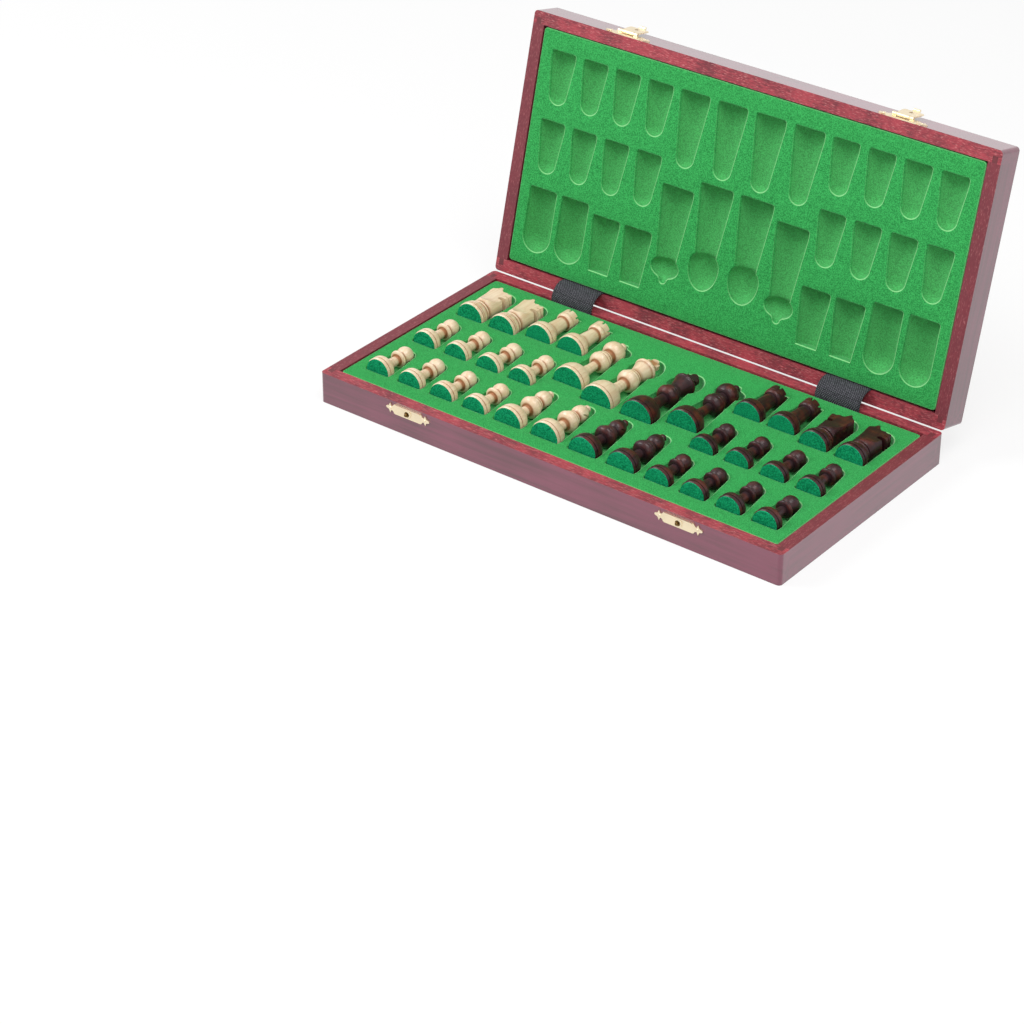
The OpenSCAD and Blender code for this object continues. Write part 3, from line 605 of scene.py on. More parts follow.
class CHESS_OT_letters(bpy.types.Operator):
    """Adds plain letters and numbers to the label strips of both board halves"""
    bl_idname = "chess.letters"
    bl_label = "Add letters and numbers"

    def execute(self, context):
        board = context.scene.chess_board
        material = burnt_wood("burnt_letters", context.scene.chess_finishes)
        grid_x = FILES * board.square / 2
        label_x = grid_x + board.narrow + board.label / 2
        label_y = BOX_HIGH.y - board.seam - HALF_RANKS * board.square - board.narrow - board.label / 2
        for half, (to_half, _) in HALVES.items():
            vertices, faces = [], []
            for i in range(FILES):
                x = -grid_x + (i + 0.5) * board.square
                self.add_glyph("ABCDEFGH"[i], (x, label_y), 1, to_half, board, vertices, faces)
            for j in range(HALF_RANKS):
                y = BOX_HIGH.y - board.seam - (j + 0.5) * board.square
                rank = 5 + j if half == "base" else 4 - j
                towards_clasps = -1 if half == "base" else 1
                for x, up in ((-label_x, towards_clasps), (label_x, -towards_clasps)):
                    self.add_glyph(str(rank), (x, y), up, to_half, board, vertices, faces)
            letters = piece(f"{half}_letters", mesh_of(f"{half}_letters", vertices, faces, False), material)
            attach(letters, half)
        return {"FINISHED"}

    @staticmethod
    def add_glyph(text, centre, up, to_half, board, vertices, faces):
        """Adds one letter; up is 1 where its top is nearer the hinge and -1 where nearer the clasps."""
        curve = bpy.data.curves.new("letter", "FONT")
        curve.body, curve.size = text, board.cap * FONT_SIZE
        curve.align_x, curve.align_y = "CENTER", "CENTER"
        curve.extrude, curve.resolution_u = board.ink, 6
        curve.offset = board.bold
        shown = bpy.data.objects.new("letter", curve)
        bpy.context.scene.collection.objects.link(shown)
        flat = applied(shown)
        low = [min(v.co[k] for v in flat.vertices) for k in (0, 1)]
        high = [max(v.co[k] for v in flat.vertices) for k in (0, 1)]
        first = len(vertices)
        side = 1 if to_half.determinant() < 0 else -1
        for vertex in flat.vertices:
            across = vertex.co.x - (low[0] + high[0]) / 2
            along = vertex.co.y - (low[1] + high[1]) / 2
            place = Vector((centre[0] + side * up * across, centre[1] + up * along, -vertex.co.z))
            vertices.append(to_half @ place)
        faces += [[first + k for k in face.vertices] for face in flat.polygons]
        bpy.data.objects.remove(shown)
        bpy.data.meshes.remove(flat)
        bpy.data.curves.remove(curve)


# ---------------------------------------------------------------- trays

def arc_points(radius_wide, radius_tall, steps, centre=(0.0, 0.0), start=0.0, end=90.0):
    """Points [(along, radius)] of an arc from the widest point to the tip."""
    points = []
    for i in range(steps + 1):
        angle = math.radians(start + (end - start) * i / steps)
        points.append((centre[0] + radius_tall * math.sin(angle), centre[1] + radius_wide * math.cos(angle)))
    return points


def men():
    """Every man of both sides as (node, kind)."""
    for side in ("white", "black"):
        for node in sorted(n for n in frame["nodes"] if n.startswith(side)):
            kind = node.split("_")[1]
            if kind in KINDS:
                yield node, kind


# Play beyond the top of each kind of man, in mm
SPARE = {"pawn": 1, "bishop": 1.5, "knight": 3, "rook": 1, "queen": 1.9, "king": 1.7}
# From the tip of a queen's or king's hollow back to its widest place, and from there to the collar, in mm
CROWN_BACK = {"queen": 12.5, "king": 18}
COLLAR_BACK = {"queen": 6.2, "king": 9.2}
# How much paler the flock is painted, from 0 to 1: as painted light in the hollows, lifting their shade, and
# as painted highlight round the tray's edge and on a pocket's lip, and how much the lip's painted highlight
# changes with the way that it faces the lamp
HOLLOW_PAINTED_LIGHT, EDGE_PAINTED_HIGHLIGHT, LIP_PAINTED_HIGHLIGHT, LIP_HIGHLIGHT_TURN = 0.13, 0.4, 0.45, 0.4


class Pocket:
    """Hollow for one man, along Y from its heel; half a turned shape below the tray's face."""

    def __init__(self, node, kind, sizes):
        low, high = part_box(node)
        self.x = (low.x + high.x) / 2
        self.heel = low.y - sizes.heel
        foot = (high.x - low.x) / 2 + sizes.foot_play
        length = high.y - self.heel + SPARE[kind] * MM
        if kind in ("pawn", "bishop", "knight"):
            head = {"pawn": sizes.pawn_ball + sizes.head_play,
                    "bishop": sizes.bishop_mitre + sizes.head_play, "knight": foot}[kind]
            beyond = arc_points(head, head, 14, (length - head, 0))
        elif kind == "rook":
            beyond = [(length, sizes.rook_crown + sizes.head_play)]
        elif kind == "queen":
            crown, nose = length - CROWN_BACK[kind] * MM, 3 * MM
            beyond = ([(crown - COLLAR_BACK[kind] * MM, sizes.collar)]
                      + arc_points(sizes.crown, 8 * MM, 10, (crown, 0), -44, 68)
                      + arc_points(nose, nose, 5, (length - nose, 0)))
        else:
            crown = length - CROWN_BACK[kind] * MM
            beyond = ([(crown - COLLAR_BACK[kind] * MM, sizes.king_collar)]
                      + arc_points(sizes.king_crown, 12 * MM, 6, (crown, 0), -44, 0)
                      + arc_points(sizes.king_crown, length - crown, 12, (crown, 0), 6))
        bend = sizes.heel_round
        heel = [(bend - across, foot - bend + radius) for radius, across in
                ((bend * math.sin(a), bend * math.cos(a)) for a in (math.pi / 12 * k for k in range(7)))]
        self.outline = heel + [(sizes.room, foot)] + beyond
        self.length = length

    def radius(self, along):
        for (a, ra), (b, rb) in zip(self.outline, self.outline[1:]):
            if a <= along <= b:
                return ra if b == a else ra + (rb - ra) * (along - a) / (b - a)
        return self.outline[-1][1]

    def reach(self, radius):
        """How far along the pocket still has this radius, near its tip."""
        for (a, ra), (b, rb) in zip(self.outline[-2::-1], self.outline[:0:-1]):
            if rb <= radius <= ra:
                return b if ra == rb else a + (b - a) * (ra - radius) / (ra - rb)
        return self.length

    def stations(self, count):
        """Places along the pocket, closer together where its outline turns, up to its last wide one."""
        last = self.reach(3 * MM)
        marks = sorted({0.0, last} | {a for a, _ in self.outline if 0 < a < last})
        places = []
        for a, b in zip(marks, marks[1:]):
            steps = max(1, round(count * (b - a) / self.length))
            places += [a + (b - a) * i / steps for i in range(steps)]
        return places + [last]


class TrayMesh:
    """Mesh of a formed tray in the base's place, kept as lists of corners and faces."""
    AROUND = 20
    ALONG = 26
    FILLET = 4

    def __init__(self, sizes):
        self.sizes, self.vertices, self.faces, self.worn = sizes, [], [], {}
        self.top = TRAY_HIGH.z

    def add(self, x, y, z):
        self.vertices.append((x, y, z))
        return len(self.vertices) - 1

    def strip(self, first, second, closed=False):
        """Quads between two rows of corners."""
        count = len(first) if closed else len(first) - 1
        for i in range(count):
            j = (i + 1) % len(first)
            corners = [first[i], first[j], second[j], second[i]]
            corners = [c for k, c in enumerate(corners) if c != corners[k - 1]]
            if len(corners) > 2:
                self.faces.append(corners)

    def pocket(self, hollow):
        """Adds a hollow and returns the loop in which the flat face meets its rounded edge."""
        edge, around = self.sizes.lip, self.AROUND
        stations = hollow.stations(self.ALONG)
        sections = []
        for along in stations:
            r = hollow.radius(along)
            start = math.asin(min(0.95, edge / r))
            angles = [start + (math.pi - 2 * start) * m / around for m in range(around + 1)]
            sections.append([self.add(hollow.x + r * math.cos(a), hollow.heel + along,
                                      self.top - r * math.sin(a)) for a in angles])
        for first, second in zip(sections, sections[1:]):
            self.strip(second, first)
        heel = [self.add(self.vertices[k][0], hollow.heel, self.top - edge) for k in sections[0]]
        heel[0], heel[-1] = sections[0][0], sections[0][-1]
        self.strip(sections[0], heel)
        tip = []
        for k in sections[-1]:
            x = self.vertices[k][0] - hollow.x
            along = min(hollow.length, hollow.reach(math.hypot(x, edge)))
            tip.append(self.add(hollow.x + x, hollow.heel + max(along, stations[-1]), self.top - edge))
        tip[0], tip[-1] = sections[-1][0], sections[-1][-1]
        self.strip(tip, sections[-1])
        ring = (heel[::-1] + [s[0] for s in sections[1:-1]] + tip + [s[-1] for s in sections[-2:0:-1]])
        return self.rounded_edge(ring, edge, -1)

    def rounded_edge(self, ring, radius, side):
        """Rounds the flat face down to a ring of corners, which runs counterclockwise seen from above
        round a hollow (side -1) or round the tray (side 1). Returns the loop in the flat face."""
        flat = [Vector(self.vertices[k][:2]) for k in ring]
        count = len(ring)
        outer, normals = [], []
        for i in range(count):
            before, here, after = (flat[(i + d) % count] for d in (-1, 0, 1))
            sides = [d.normalized() for d in (here - before, after - here) if d.length > 1e-7]
            turned = [Vector((d.y, -d.x)) for d in sides]
            if len(turned) == 2 and turned[0].dot(turned[1]) < 0.8:
                fan = 5
                first = math.atan2(turned[0].y, turned[0].x)
                swing = turned[0].angle_signed(turned[1])
                spread = [first - swing * k / (fan - 1) for k in range(fan)]
                normals += [Vector((math.cos(a), math.sin(a))) for a in spread]
                outer += [ring[i]] * fan
            else:
                normals.append(sum(turned, Vector((0, 0))).normalized())
                outer.append(ring[i])
        below = outer
        for step in range(1, self.FILLET + 1):
            angle = math.pi / 2 * step / self.FILLET
            out, up = radius * (1 - math.cos(angle)), radius * math.sin(angle)
            row = []
            for k, normal in zip(outer, normals):
                x, y, z = self.vertices[k]
                row.append(self.add(x - side * normal.x * out, y - side * normal.y * out, z + up))
                if step < self.FILLET:
                    # Painted highlight on the rounded edges: on a pocket's lip it is stronger where the lip
                    # faces the lamp, and round the tray it is even
                    lip_highlight = LIP_PAINTED_HIGHLIGHT + LIP_HIGHLIGHT_TURN * (normal.x + normal.y) if side < 0 else EDGE_PAINTED_HIGHLIGHT
                    self.worn[row[-1]] = min(1.0, max(0.0, lip_highlight)) * math.sin(2 * angle)
            self.strip(row, below, closed=True) if side < 0 else self.strip(below, row, closed=True)
            below = row
        return below

    def skirt(self):
        """Outer edge of the tray, rounded over and turned down into the gap beside the walls."""
        shrink = self.sizes.shrink
        half_x, y0, y1 = TRAY_HIGH.x - shrink, TRAY_LOW.y + shrink, TRAY_HIGH.y - shrink
        corner, rim = self.sizes.corner, self.sizes.rim
        upper, lower = [], []
        for cx, cy, start in ((half_x, y1, 0), (-half_x, y1, 90), (-half_x, y0, 180), (half_x, y0, 270)):
            centre = (cx - math.copysign(corner, cx), cy - (corner if cy == y1 else -corner))
            for i in range(9):
                a = math.radians(start + 90 * i / 8)
                x, y = centre[0] + corner * math.cos(a), centre[1] + corner * math.sin(a)
                upper.append(self.add(x, y, self.top - rim))
                lower.append(self.add(x, y, self.top - rim - self.sizes.skirt))
        self.strip(lower, upper, closed=True)
        return self.rounded_edge(upper, rim, 1)

    def face(self, outside, hollows):
        """Flat face between the outer edge and the hollows."""
        keys = outside + [k for loop in hollows for k in loop]
        points = [Vector(self.vertices[k][:2]) for k in keys]
        edges, first = [], 0
        for loop in [outside] + hollows:
            edges += [(first + i, first + (i + 1) % len(loop)) for i in range(len(loop))]
            first += len(loop)
        made, _, triangles, origin, _, _ = geometry.delaunay_2d_cdt(points, edges, [], 0, 1e-7)
        owner = [keys[o[0]] if o else None for o in origin]
        outlines = [[self.vertices[k][:2] for k in loop] for loop in hollows]
        border = [self.vertices[k][:2] for k in outside]
        boxes = [(min(p[0] for p in o), max(p[0] for p in o), min(p[1] for p in o), max(p[1] for p in o))
                 for o in outlines]
        for triangle in triangles:
            corners = [owner[k] for k in triangle]
            centre = sum((made[k] for k in triangle), Vector((0, 0))) / 3
            if None in corners or not inside(centre, border):
                continue
            if any(b[0] < centre.x < b[1] and b[2] < centre.y < b[3] and inside(centre, o)
                   for o, b in zip(outlines, boxes)):
                continue
            self.faces.append(corners)


def inside(point, outline):
    """Is the point inside the closed outline?"""
    crossings = 0
    for (ax, ay), (bx, by) in zip(outline, outline[1:] + outline[:1]):
        if (ay > point.y) != (by > point.y) and point.x < ax + (point.y - ay) * (bx - ax) / (by - ay):
            crossings += 1
    return crossings % 2 == 1


class CHESS_OT_trays(bpy.types.Operator):
    """Forms the two flocked trays with their rounded pockets"""
    bl_idname = "chess.trays"
    bl_label = "Add trays"

    def execute(self, context):
        sizes, finishes = context.scene.chess_trays, context.scene.chess_finishes
        tray = TrayMesh(sizes)
        loops = [tray.pocket(Pocket(node, kind, sizes)) for node, kind in men()]
        for k, place in enumerate(tray.vertices):
            # Painted light: the flock in the hollows is painted a little paler to lift their shade
            tray.worn.setdefault(k, HOLLOW_PAINTED_LIGHT if place[2] < tray.top - MM else 0.0)
        tray.face(tray.skirt(), loops)
        for half, (to_half, _) in HALVES.items():
            corners = [to_half @ Vector(v) for v in tray.vertices]
            faces = [f[::-1] for f in tray.faces] if to_half.determinant() < 0 else tray.faces
            mesh = mesh_of(f"{half}_formed_tray", corners, faces)
            values = mesh.attributes.new(PAINTED_SHEEN, "FLOAT", "POINT").data
            for k, value in enumerate(values):
                value.value = tray.worn.get(k, 0.0)
            flock = flocking(f"{half}_flock", finishes.flock, worn=finishes.flock_worn)
            formed = piece(f"{half}_formed_tray", mesh, flock)
            smooth_by_angle(formed, 60)
            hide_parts(f"{half}_tray")
            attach(formed, half)
        return {"FINISHED"}


# ---------------------------------------------------------------- straps

def ribbon(name, path, x, width, thickness, material):
    """Webbing of some thickness along a path of (y, z) points, centred on x."""
    vertices, faces, normals = [], [], []
    across = 12
    selvedge = thickness * 0.3
    for i, point in enumerate(path):
        a, b = path[max(0, i - 1)], path[min(len(path) - 1, i + 1)]
        along = Vector((b[0] - a[0], b[1] - a[1])).normalized()
        normals.append(Vector((-along.y, along.x)))
    for point, normal in zip(path, normals):
        for offset in (0, thickness):
            for k in range(across + 1):
                inset = selvedge if k in (0, across) else 0
                t = min(max(offset, inset), thickness - inset)
                vertices.append((x + width * (k / across - 0.5), point[0] + normal.x * t,
                                 point[1] + normal.y * t))
    row = 2 * (across + 1)
    for i in range(len(path) - 1):
        a, b = i * row, (i + 1) * row
        for k in range(across):
            faces.append((a + k, a + k + 1, b + k + 1, b + k))
            top = across + 1 + k
            faces.append((a + top + 1, a + top, b + top, b + top + 1))
        faces.append((a, b, b + across + 1, a + across + 1))
        faces.append((a + across, a + 2 * across + 1, b + 2 * across + 1, b + across))
    last = (len(path) - 1) * row
    for k in range(across):
        faces.append((k + 1, k, across + 1 + k, across + 2 + k))
        faces.append((last + k, last + k + 1, last + across + 2 + k, last + across + 1 + k))
    return piece(name, mesh_of(name, vertices, faces), material)


class CHESS_OT_straps(bpy.types.Operator):
    """Lays the two webbing straps from tray to tray over the hinge"""
    bl_idname = "chess.straps"
    bl_label = "Add straps"

    def execute(self, context):
        straps = context.scene.chess_straps
        material = woven_webbing("webbing", context.scene.chess_finishes, straps)
        left = [v.co.x for v in frame["nodes"]["strap_base_tabs"].data.vertices if v.co.x < 0]
        width = max(left) - min(left)
        for side, x in (("left", (max(left) + min(left)) / 2), ("right", -(max(left) + min(left)) / 2)):
            self.add_strap(side, x, width, straps, material)
        return {"FINISHED"}

    @staticmethod
    def add_strap(side, x, width, straps, material):
        """One strap: tucked in at the base, arched over the hinge, and tucked in at the lid."""
        def to_plane(place):
            return Vector((place[1], place[2]))

        start = to_plane(joint("strap_lower_fold")["pos_m"])
        end = to_plane(joint("strap_upper_fold")["pos_m"]) + to_plane(HINGE) - start
        chord = end - start
        up = Vector((-chord.y, chord.x)).normalized()
        half_angle = 2 * math.atan(straps.rise / (chord.length / 2))
        radius = chord.length / 2 / math.sin(half_angle)
        centre = (start + end) / 2 - up * (radius - straps.rise)

        def on_arch(t):
            angle = half_angle * (1 - 2 * t)
            return centre + radius * (math.cos(angle) * up - math.sin(angle) * chord.normalized())

        into_base = -to_plane(BASE_AXES[2])
        into_lid = -to_plane(LID_AXES[2])
        tuck = [straps.tuck * i / 6 for i in range(6, 0, -1)]
        stretches = {
            "base": [start + into_base * t for t in tuck] + [on_arch(i / 24) for i in range(8)],
            "fold": [on_arch(i / 24) for i in range(7, 18)],
            "upper": [on_arch(i / 24) for i in range(17, 25)],
            "lid": [end + into_lid * t for t in [0] + tuck[::-1]]}
        pieces = {name: ribbon(f"{side}_strap_{name}", path, x, width, straps.thickness, material)
                  for name, path in stretches.items()}
        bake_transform(pieces["base"])
        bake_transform(pieces["fold"])
        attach(pieces["upper"], "strap_upper")
        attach(pieces["lid"], "lid")
        if side == "left":
            for name, node in (("base", "base_tabs"), ("fold", "lower_leaves"), ("upper", "upper_leaves"),
                               ("lid", "lid_tabs")):
                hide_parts(f"strap_{node}")


# ---------------------------------------------------------------- men and clasps

# Radius and height of the turned blank above a knight's ring, in mm
TRUNK = ((7, 14), (7, 14.6), (8.4, 15.2), (9, 16.4), (9.3, 19), (9.4, 24), (9.8, 31), (10.6, 38),
         (10.9, 47))
# Outline of a knight's head from the side, forward and above, in mm
HEAD = ((13, -1), (13, 14), (10, 14.6), (9.6, 28.4), (8.6, 29.4), (4.2, 30.2), (3.3, 31.2), (3.5, 32.6),
        (4.8, 33.4), (8.6, 33.2), (9.8, 34), (10.3, 35.6), (10.2, 38.8), (9.3, 40.6), (7.8, 40.9),
        (6.4, 40.4), (5.2, 40.9), (4, 41.8), (2.6, 41.5), (0.9, 41.2), (-0.6, 41.9), (-1.7, 43.6),
        (-2.5, 45.3), (-3.5, 46), (-4.6, 45.5), (-5.4, 43.4), (-7, 42), (-8.9, 40.7), (-10, 38.6),
        (-9.6, 35.8), (-8.7, 31), (-7.8, 23), (-7.6, 17), (-7.8, 14.6), (-13, 14), (-13, -1))
# Half its width over the cheeks at each height, in mm
CHEEKS = ((13, -1), (13, 14), (9.4, 14.8), (9, 17.5), (7.6, 22), (6.6, 26), (6.1, 31), (5.9, 47))
# Saw cuts of the mane, and the height of the lowest and the step to the next, in mm
MANE_CUTS, MANE_START, MANE_STEP = 10, 16.4, 1.6
# The one knight that lies on its other cheek
TURNED_KNIGHT = "black_knight_1"


class CHESS_OT_knights(bpy.types.Operator):
    """Carves the four knights: turned foot, blocky head, sawn mane, mouth and eyes"""
    bl_idname = "chess.knights"
    bl_label = "Carve knights"

    def execute(self, context):
        sizes = context.scene.chess_knights
        carved = self.carve(sizes)
        for side in ("white", "black"):
            wood = frame["nodes"][f"{side}_pawn_1"].data.materials[0]
            for number in (1, 2):
                node = f"{side}_knight_{number}"
                low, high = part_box(node)
                roll = math.pi if node == TURNED_KNIGHT else 0
                lying = (Matrix.Translation(((low.x + high.x) / 2, low.y - sizes.felt, (low.z + high.z) / 2))
                         @ Matrix.Rotation(-math.pi / 2, 4, "X") @ Matrix.Rotation(roll, 4, "Z"))
                mesh = carved.copy()
                mesh.transform(lying)
                knight = piece(f"{node}_carved", mesh, wood)
                smooth_by_angle(knight, 32)
                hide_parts(node)
                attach(knight, f"{side}_men")
        bpy.data.meshes.remove(carved)
        return {"FINISHED"}

    def carve(self, sizes):
        """Mesh of a knight that stands on the origin and faces +X."""
        body = piece("knight_blank", self.blank(sizes))
        narrowing = 1 - 0.2 * sizes.width / (13 * MM)
        tools = [(piece("knight_side", prism([(x, 0, z) for x, z in HEAD], (0, 13, 0), (0, -13, 0))),
                  "INTERSECT"),
                 (piece("knight_front", self.cheeks(sizes, narrowing)), "INTERSECT"),
                 (piece("knight_cuts", self.cuts(sizes)), "DIFFERENCE")]
        for tool, operation in tools:
            modifier = body.modifiers.new(operation, "BOOLEAN")
            modifier.operation, modifier.solver, modifier.object = operation, "EXACT", tool
        mesh = applied(body)
        for used in [body] + [tool for tool, _ in tools]:
            data = used.data
            bpy.data.objects.remove(used)
            bpy.data.meshes.remove(data)
        mesh.shade_smooth()
        return mesh

    @staticmethod
    def blank(sizes):
        """Turned blank: foot with two bands, a dome, a ring and a round trunk."""
        g, top = sizes.groove, sizes.felt + sizes.band
        middle_z = sizes.felt + sizes.band / 2
        profile = [(sizes.foot - g, sizes.felt), (sizes.foot, sizes.felt + g), (sizes.foot, middle_z),
                   (sizes.foot - g, middle_z + g / 3), (sizes.foot - g, middle_z + g),
                   (sizes.foot, middle_z + 4 * g / 3), (sizes.foot, top - g), (sizes.foot - g, top - g / 2)]
        shoulder = sizes.foot - g / 2
        for i in range(9):
            a = math.radians(10 * i)
            profile.append((sizes.neck + (shoulder - sizes.neck) * math.cos(a),
                            top + (sizes.dome - g - top) * math.sin(a)))
        bead = 1.1 * MM
        profile += [(sizes.neck - g, sizes.dome - g / 2)]
        profile += [(sizes.neck - 0.3 * MM + bead * math.cos(a), sizes.dome + bead * (1 + math.sin(a)))
                    for a in (math.radians(22.5 * k) for k in range(-3, 4))]
        blank = lathe("knight_blank", profile + [(r * MM, z * MM) for r, z in TRUNK])
        mark_creases(blank, [(v.co.z, math.hypot(v.co.x, v.co.y)) for v in blank.vertices])
        return blank

    @staticmethod
    def cheeks(sizes, narrowing):
        """What is left between the two sawn cheeks, which come together towards the muzzle."""
        scale = sizes.width / (12 * MM)
        outline = [(y * scale, z) for y, z in CHEEKS] + [(-y * scale, z) for y, z in reversed(CHEEKS)]
        back = [(-14, y, z) for y, z in outline]
        front = [(14, y * (narrowing if z > 20 else 1), z) for y, z in outline]
        return prism_between(back, front)

    @staticmethod
    def cuts(sizes):
        """Saw cuts of the mane, the mouth, the groove between the ears and the eyes, in one mesh."""
        vertices, faces = [], []

        def slab(turn, low, high, squeeze=1.0):
            first = len(vertices)
            for corner in range(8):
                place = Vector([(high if corner >> k & 1 else low)[k] for k in range(3)])
                if not corner >> 2 & 1:
                    place.y *= squeeze
                vertices.append(turn @ place)
            for face in ((0, 2, 3, 1), (4, 5, 7, 6), (0, 1, 5, 4), (2, 6, 7, 3), (0, 4, 6, 2), (1, 3, 7, 5)):
                faces.append(tuple(first + k for k in face))

        wide, g = sizes.width, sizes.groove
        for i in range(MANE_CUTS):
            z = MANE_START + MANE_STEP * i
            # The back of the neck at this height
            mane = -7.6 - 0.033 * (z - 17) if z < 23 else -7.8 - 0.1125 * (z - 23)
            slab(Matrix.Translation((mane * MM, 0, z * MM)) @ Matrix.Rotation(math.radians(14), 4, "X"),
                 (-6 * MM, -wide, 0), (1.1 * g, wide, g))
        mouth = Matrix.Translation((5.8 * MM, 0, sizes.height - 9.6 * MM))
        slab(mouth @ Matrix.Rotation(math.radians(6), 4, "Y"), (0, -wide, 0), (8 * MM, wide, 0.9 * g))
        slab(Matrix.Translation((0, 0, sizes.height)), (-12 * MM, -sizes.ear_gap / 2, -3.8 * MM),
             (-0.4 * MM, sizes.ear_gap / 2, 1 * MM), 0.12)
        for side in (-1, 1):
            first = len(vertices)
            for k in range(16):
                a = math.pi * k / 8
                x, z = 3.4 * MM + sizes.eye * math.cos(a), sizes.height - 7.4 * MM + sizes.eye * math.sin(a)
                vertices += [(x, side * (wide / 2 - 1.1 * MM), z), (x, side * wide, z)]
            ring = list(range(first, first + 32, 2))
            rim = [k + 1 for k in ring]
            new = [ring, rim[::-1]] + [(ring[k], rim[k], rim[(k + 1) % 16], ring[(k + 1) % 16])
                                       for k in range(16)]
            faces += [tuple(f) if side < 0 else tuple(f)[::-1] for f in new]
        return mesh_of("knight_cuts", vertices, faces)


def prism(outline, low, high):
    """Closed mesh between an outline in mm moved by low and the same moved by high."""
    return prism_between(*[[tuple(Vector(point) + Vector(shift)) for point in outline]
                           for shift in (low, high)])


def prism_between(first, second):
    """Closed mesh between two outlines in mm with as many corners each."""
    count = len(first)
    faces = [tuple(range(count))[::-1], tuple(range(count, 2 * count))]
    faces += [(k, (k + 1) % count, count + (k + 1) % count, count + k) for k in range(count)]
    return mesh_of("prism", [Vector(place) * MM for place in first + second], faces)


# How far above and below a crease its neighbours are looked for, and the depth of a full one: first
# for grooves, then for waists
CREASES = ((1.1 * MM, 0.2 * MM), (2.4 * MM, 1.4 * MM))


def mark_creases(mesh, places):
    """Writes how deep each corner of a turned mesh lies in a crease, from 0 to 1, which the wood's finish
    paints as shade; places gives every corner's (height, radius)."""
    layer = 0.05 * MM
    widest = {}
    for height, radius in places:
        key = round(height / layer)
        widest[key] = max(widest.get(key, 0.0), radius)
    heights = sorted(widest)

    def radius_at(height):
        key = height / layer
        k = bisect.bisect_left(heights, key)
        if k == 0 or k == len(heights):
            return 0.0
        a, b = heights[k - 1], heights[k]
        return widest[a] + (widest[b] - widest[a]) * (key - a) / (b - a)

    values = mesh.attributes.new(CREASE, "FLOAT", "POINT").data
    for (height, radius), value in zip(places, values):
        value.value = max(min(1.0, max(0.0, (radius_at(height - reach) + radius_at(height + reach)) / 2
                                       - radius) / full)
                          for reach, full in CREASES)


def lathe(name, profile, around=64):
    """Closed turned mesh from a profile of (radius, height), with flat ends."""
    vertices, faces = [], []
    for radius, height in profile:
        for k in range(around):
            a = 2 * math.pi * k / around
            vertices.append((radius * math.cos(a), radius * math.sin(a), height))
    for row in range(len(profile) - 1):
        for k in range(around):
            j = (k + 1) % around
            low, high = row * around, (row + 1) * around
            faces.append((low + k, low + j, high + j, high + k))
    faces.append(tuple(range(around))[::-1])
    faces.append(tuple(range((len(profile) - 1) * around, len(profile) * around)))
    return mesh_of(name, vertices, faces)


class CHESS_OT_men(bpy.types.Operator):
    """Finishes the men in pale and in stained wood, and the felts under them"""
    bl_idname = "chess.men"
    bl_label = "Finish men"

    def execute(self, context):
        finishes = context.scene.chess_finishes
        wood = {"white": turned_wood("white_men_wood", finishes.white_wood, finishes.white_grain,
                                     finishes.white_crease),
                # The black men's creases are painted in the burnt colour as painted shade
                "black": turned_wood("black_men_wood", finishes.black_wood, finishes.black_grain,
                                     finishes.burnt, finishes.black_edge, 0.22)}
        felt = flocking("felt", finishes.felt, 0.4, 0.1)
        for node, kind in men():
            man = repaint(node, wood[node.split("_")[0]], smooth=True)
            smooth_by_angle(man, 28)
            if kind != "knight":
                low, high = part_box(node)
                x, z = (low.x + high.x) / 2, (low.z + high.z) / 2
                mark_creases(man.data, [(v.co.y - low.y, math.hypot(v.co.x - x, v.co.z - z))
                                        for v in man.data.vertices])
        for side in ("white", "black"):
            repaint(f"{side}_felts", felt)
        return {"FINISHED"}


def boss_chooser():
    """Function that gives 1 for the faces of the round boss and nub in the middle of a strike plate, which
    take the painted shade.
    """
    low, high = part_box("strike_plates")
    middle_x, middle_z = high.x - PLATE_LENGTH / 2, (low.z + high.z) / 2
    outward = high.y - BOSS_START

    def on_boss(face):
        aside = math.hypot(abs(face.center.x) - middle_x, face.center.z - middle_z)
        return 1 if aside < BOSS and face.center.y < outward else 0

    return on_boss


class CHESS_OT_clasps(bpy.types.Operator):
    """Finishes the hasps, their plates, pins and nails in brass"""
    bl_idname = "chess.clasps"
    bl_label = "Finish clasps"

    def execute(self, context):
        finishes = context.scene.chess_finishes
        brass = bright_brass("brass", finishes.brass)
        # Darker brass on the bosses as painted shade
        shaded_brass = bright_brass("dull_brass", finishes.brass_dark)
        for node in ("strike_plates", "base_clasp_nails", "lid_clasp_nails", "left_hasp_plate",
                     "right_hasp_plate", "left_hasp", "right_hasp", "hasp_pins"):
            choose = boss_chooser() if node == "strike_plates" else None
            smooth_by_angle(repaint(node, brass, shaded_brass, choose=choose, smooth=True), 30)
            if "nails" not in node and "pins" not in node:
                soften(node, 0.12 * MM)
        return {"FINISHED"}


# ---------------------------------------------------------------- stage

# Name, place, target, diameter and setting for the power of each lamp
LAMPS = (("overhead", (0.55, -0.3, 1.6), (0.1, 0, 0), 1.1, "top"),
         ("upper_left", (-1.5, -1.0, 1.6), (0, 0.1, 0.05), 1.3, "key"),
         ("beside_camera", (1.6, -1.6, 1.3), (0, 0, 0.1), 1.6, "fill"))


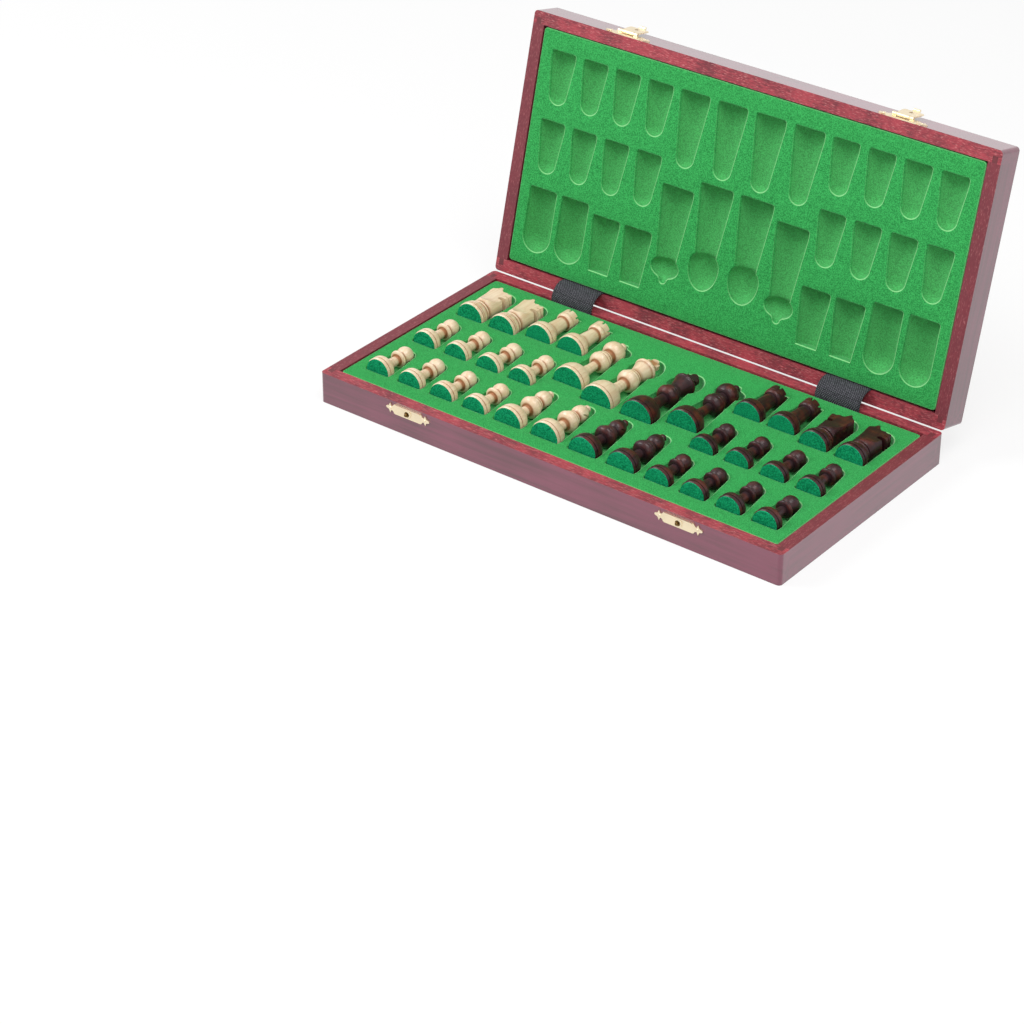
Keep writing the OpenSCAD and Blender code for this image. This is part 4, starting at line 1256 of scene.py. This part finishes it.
class CHESS_OT_stage(bpy.types.Operator):
    """Sets the camera, the pale floor and the soft light"""
    bl_idname = "chess.stage"
    bl_label = "Add stage"

    def execute(self, context):
        studio = context.scene.chess_studio
        self.add_camera(studio)
        self.add_floor()
        self.add_sky(studio)
        for name, place, target, size, power in LAMPS:
            self.add_lamp(name, place, target, size, getattr(studio, power))
        context.scene.view_settings.view_transform = "Standard"
        return {"FINISHED"}

    @staticmethod
    def add_camera(studio):
        a, e = math.radians(studio.azimuth), math.radians(studio.elevation)
        back = Vector((math.sin(a) * math.cos(e), -math.cos(a) * math.cos(e), math.sin(e)))
        right = Vector((math.cos(a), math.sin(a), 0))
        turn = Matrix((right, back.cross(right), back)).transposed().to_4x4()
        camera = bpy.data.objects.new("camera", bpy.data.cameras.new("camera"))
        bpy.context.scene.collection.objects.link(camera)
        camera.data.lens, camera.data.sensor_width = studio.lens, 36
        camera.data.clip_end = 100
        camera.matrix_world = (Matrix.Translation(studio.camera) @ turn
                               @ Matrix.Rotation(math.radians(studio.roll), 4, "Z"))
        bpy.context.scene.camera = camera

    @staticmethod
    def add_floor():
        size = 6.0
        corners = [(-size, -size, 0), (size, -size, 0), (size, size, 0), (-size, size, 0)]
        s = Shader("floor", Roughness=0.9, Base_Color=(0.95, 0.95, 0.95, 1))
        white = s.make("ShaderNodeEmission", {}, {"Color": (1, 1, 1, 1), "Strength": 1.0})
        both = s.make("ShaderNodeMixShader", {}, {0: s.seen() * 0.8, 1: Wire(s, s.surface.outputs[0]),
                                                   2: white})
        s.tree.links.new(both.socket, s.tree.nodes["Material Output"].inputs["Surface"])
        floor = piece("floor", mesh_of("floor", corners, [(0, 1, 2, 3)], False), s.material)
        floor.location.z = -0.2 * MM

    @staticmethod
    def add_sky(studio):
        world = bpy.data.worlds.new("sky")
        bpy.context.scene.world = world
        world.use_nodes = True
        nodes = Nodes(world.node_tree)
        strength = nodes.make("ShaderNodeMapRange", {}, {"Value": nodes.seen(), "To Min": studio.sky,
                                                         "To Max": 1.0})
        background = world.node_tree.nodes["Background"]
        background.inputs["Color"].default_value = (1, 1, 1, 1)
        world.node_tree.links.new(strength.socket, background.inputs["Strength"])

    @staticmethod
    def add_lamp(name, place, target, size, power):
        data = bpy.data.lights.new(name, "AREA")
        data.shape, data.size, data.energy = "DISK", size, power
        lamp = bpy.data.objects.new(name, data)
        bpy.context.scene.collection.objects.link(lamp)
        lamp.location = place
        lamp.rotation_euler = (Vector(place) - Vector(target)).to_track_quat("Z", "Y").to_euler()


# ---------------------------------------------------------------- panel and registration

OPERATORS = (CHESS_OT_stage, CHESS_OT_wood, CHESS_OT_letters, CHESS_OT_trays, CHESS_OT_straps,
             CHESS_OT_men, CHESS_OT_knights, CHESS_OT_clasps)


class CHESS_PT_panel(bpy.types.Panel):
    """Lists the steps that dress the chess box"""
    bl_idname = "CHESS_PT_panel"
    bl_label = "Chess box"
    bl_space_type = "VIEW_3D"
    bl_region_type = "UI"
    bl_category = "Chess box"

    def draw(self, context):
        for operator in OPERATORS:
            self.layout.operator(operator.bl_idname)
        for name in SETTINGS:
            box = self.layout.box()
            for setting in getattr(context.scene, name).bl_rna.properties:
                if setting.identifier not in ("rna_type", "name"):
                    box.prop(getattr(context.scene, name), setting.identifier)


def register():
    for group in SETTINGS.values():
        bpy.utils.register_class(group)
    for operator in OPERATORS:
        bpy.utils.register_class(operator)
    bpy.utils.register_class(CHESS_PT_panel)
    for name, group in SETTINGS.items():
        setattr(bpy.types.Scene, name, PointerProperty(type=group))


def unregister():
    for name in SETTINGS:
        delattr(bpy.types.Scene, name)
    bpy.utils.unregister_class(CHESS_PT_panel)
    for operator in reversed(OPERATORS):
        bpy.utils.unregister_class(operator)
    for group in reversed(list(SETTINGS.values())):
        bpy.utils.unregister_class(group)


def main():
    register()
    for operator in OPERATORS:
        group, name = operator.bl_idname.split(".")
        getattr(getattr(bpy.ops, group), name)()


if __name__ == "__main__":
    main()
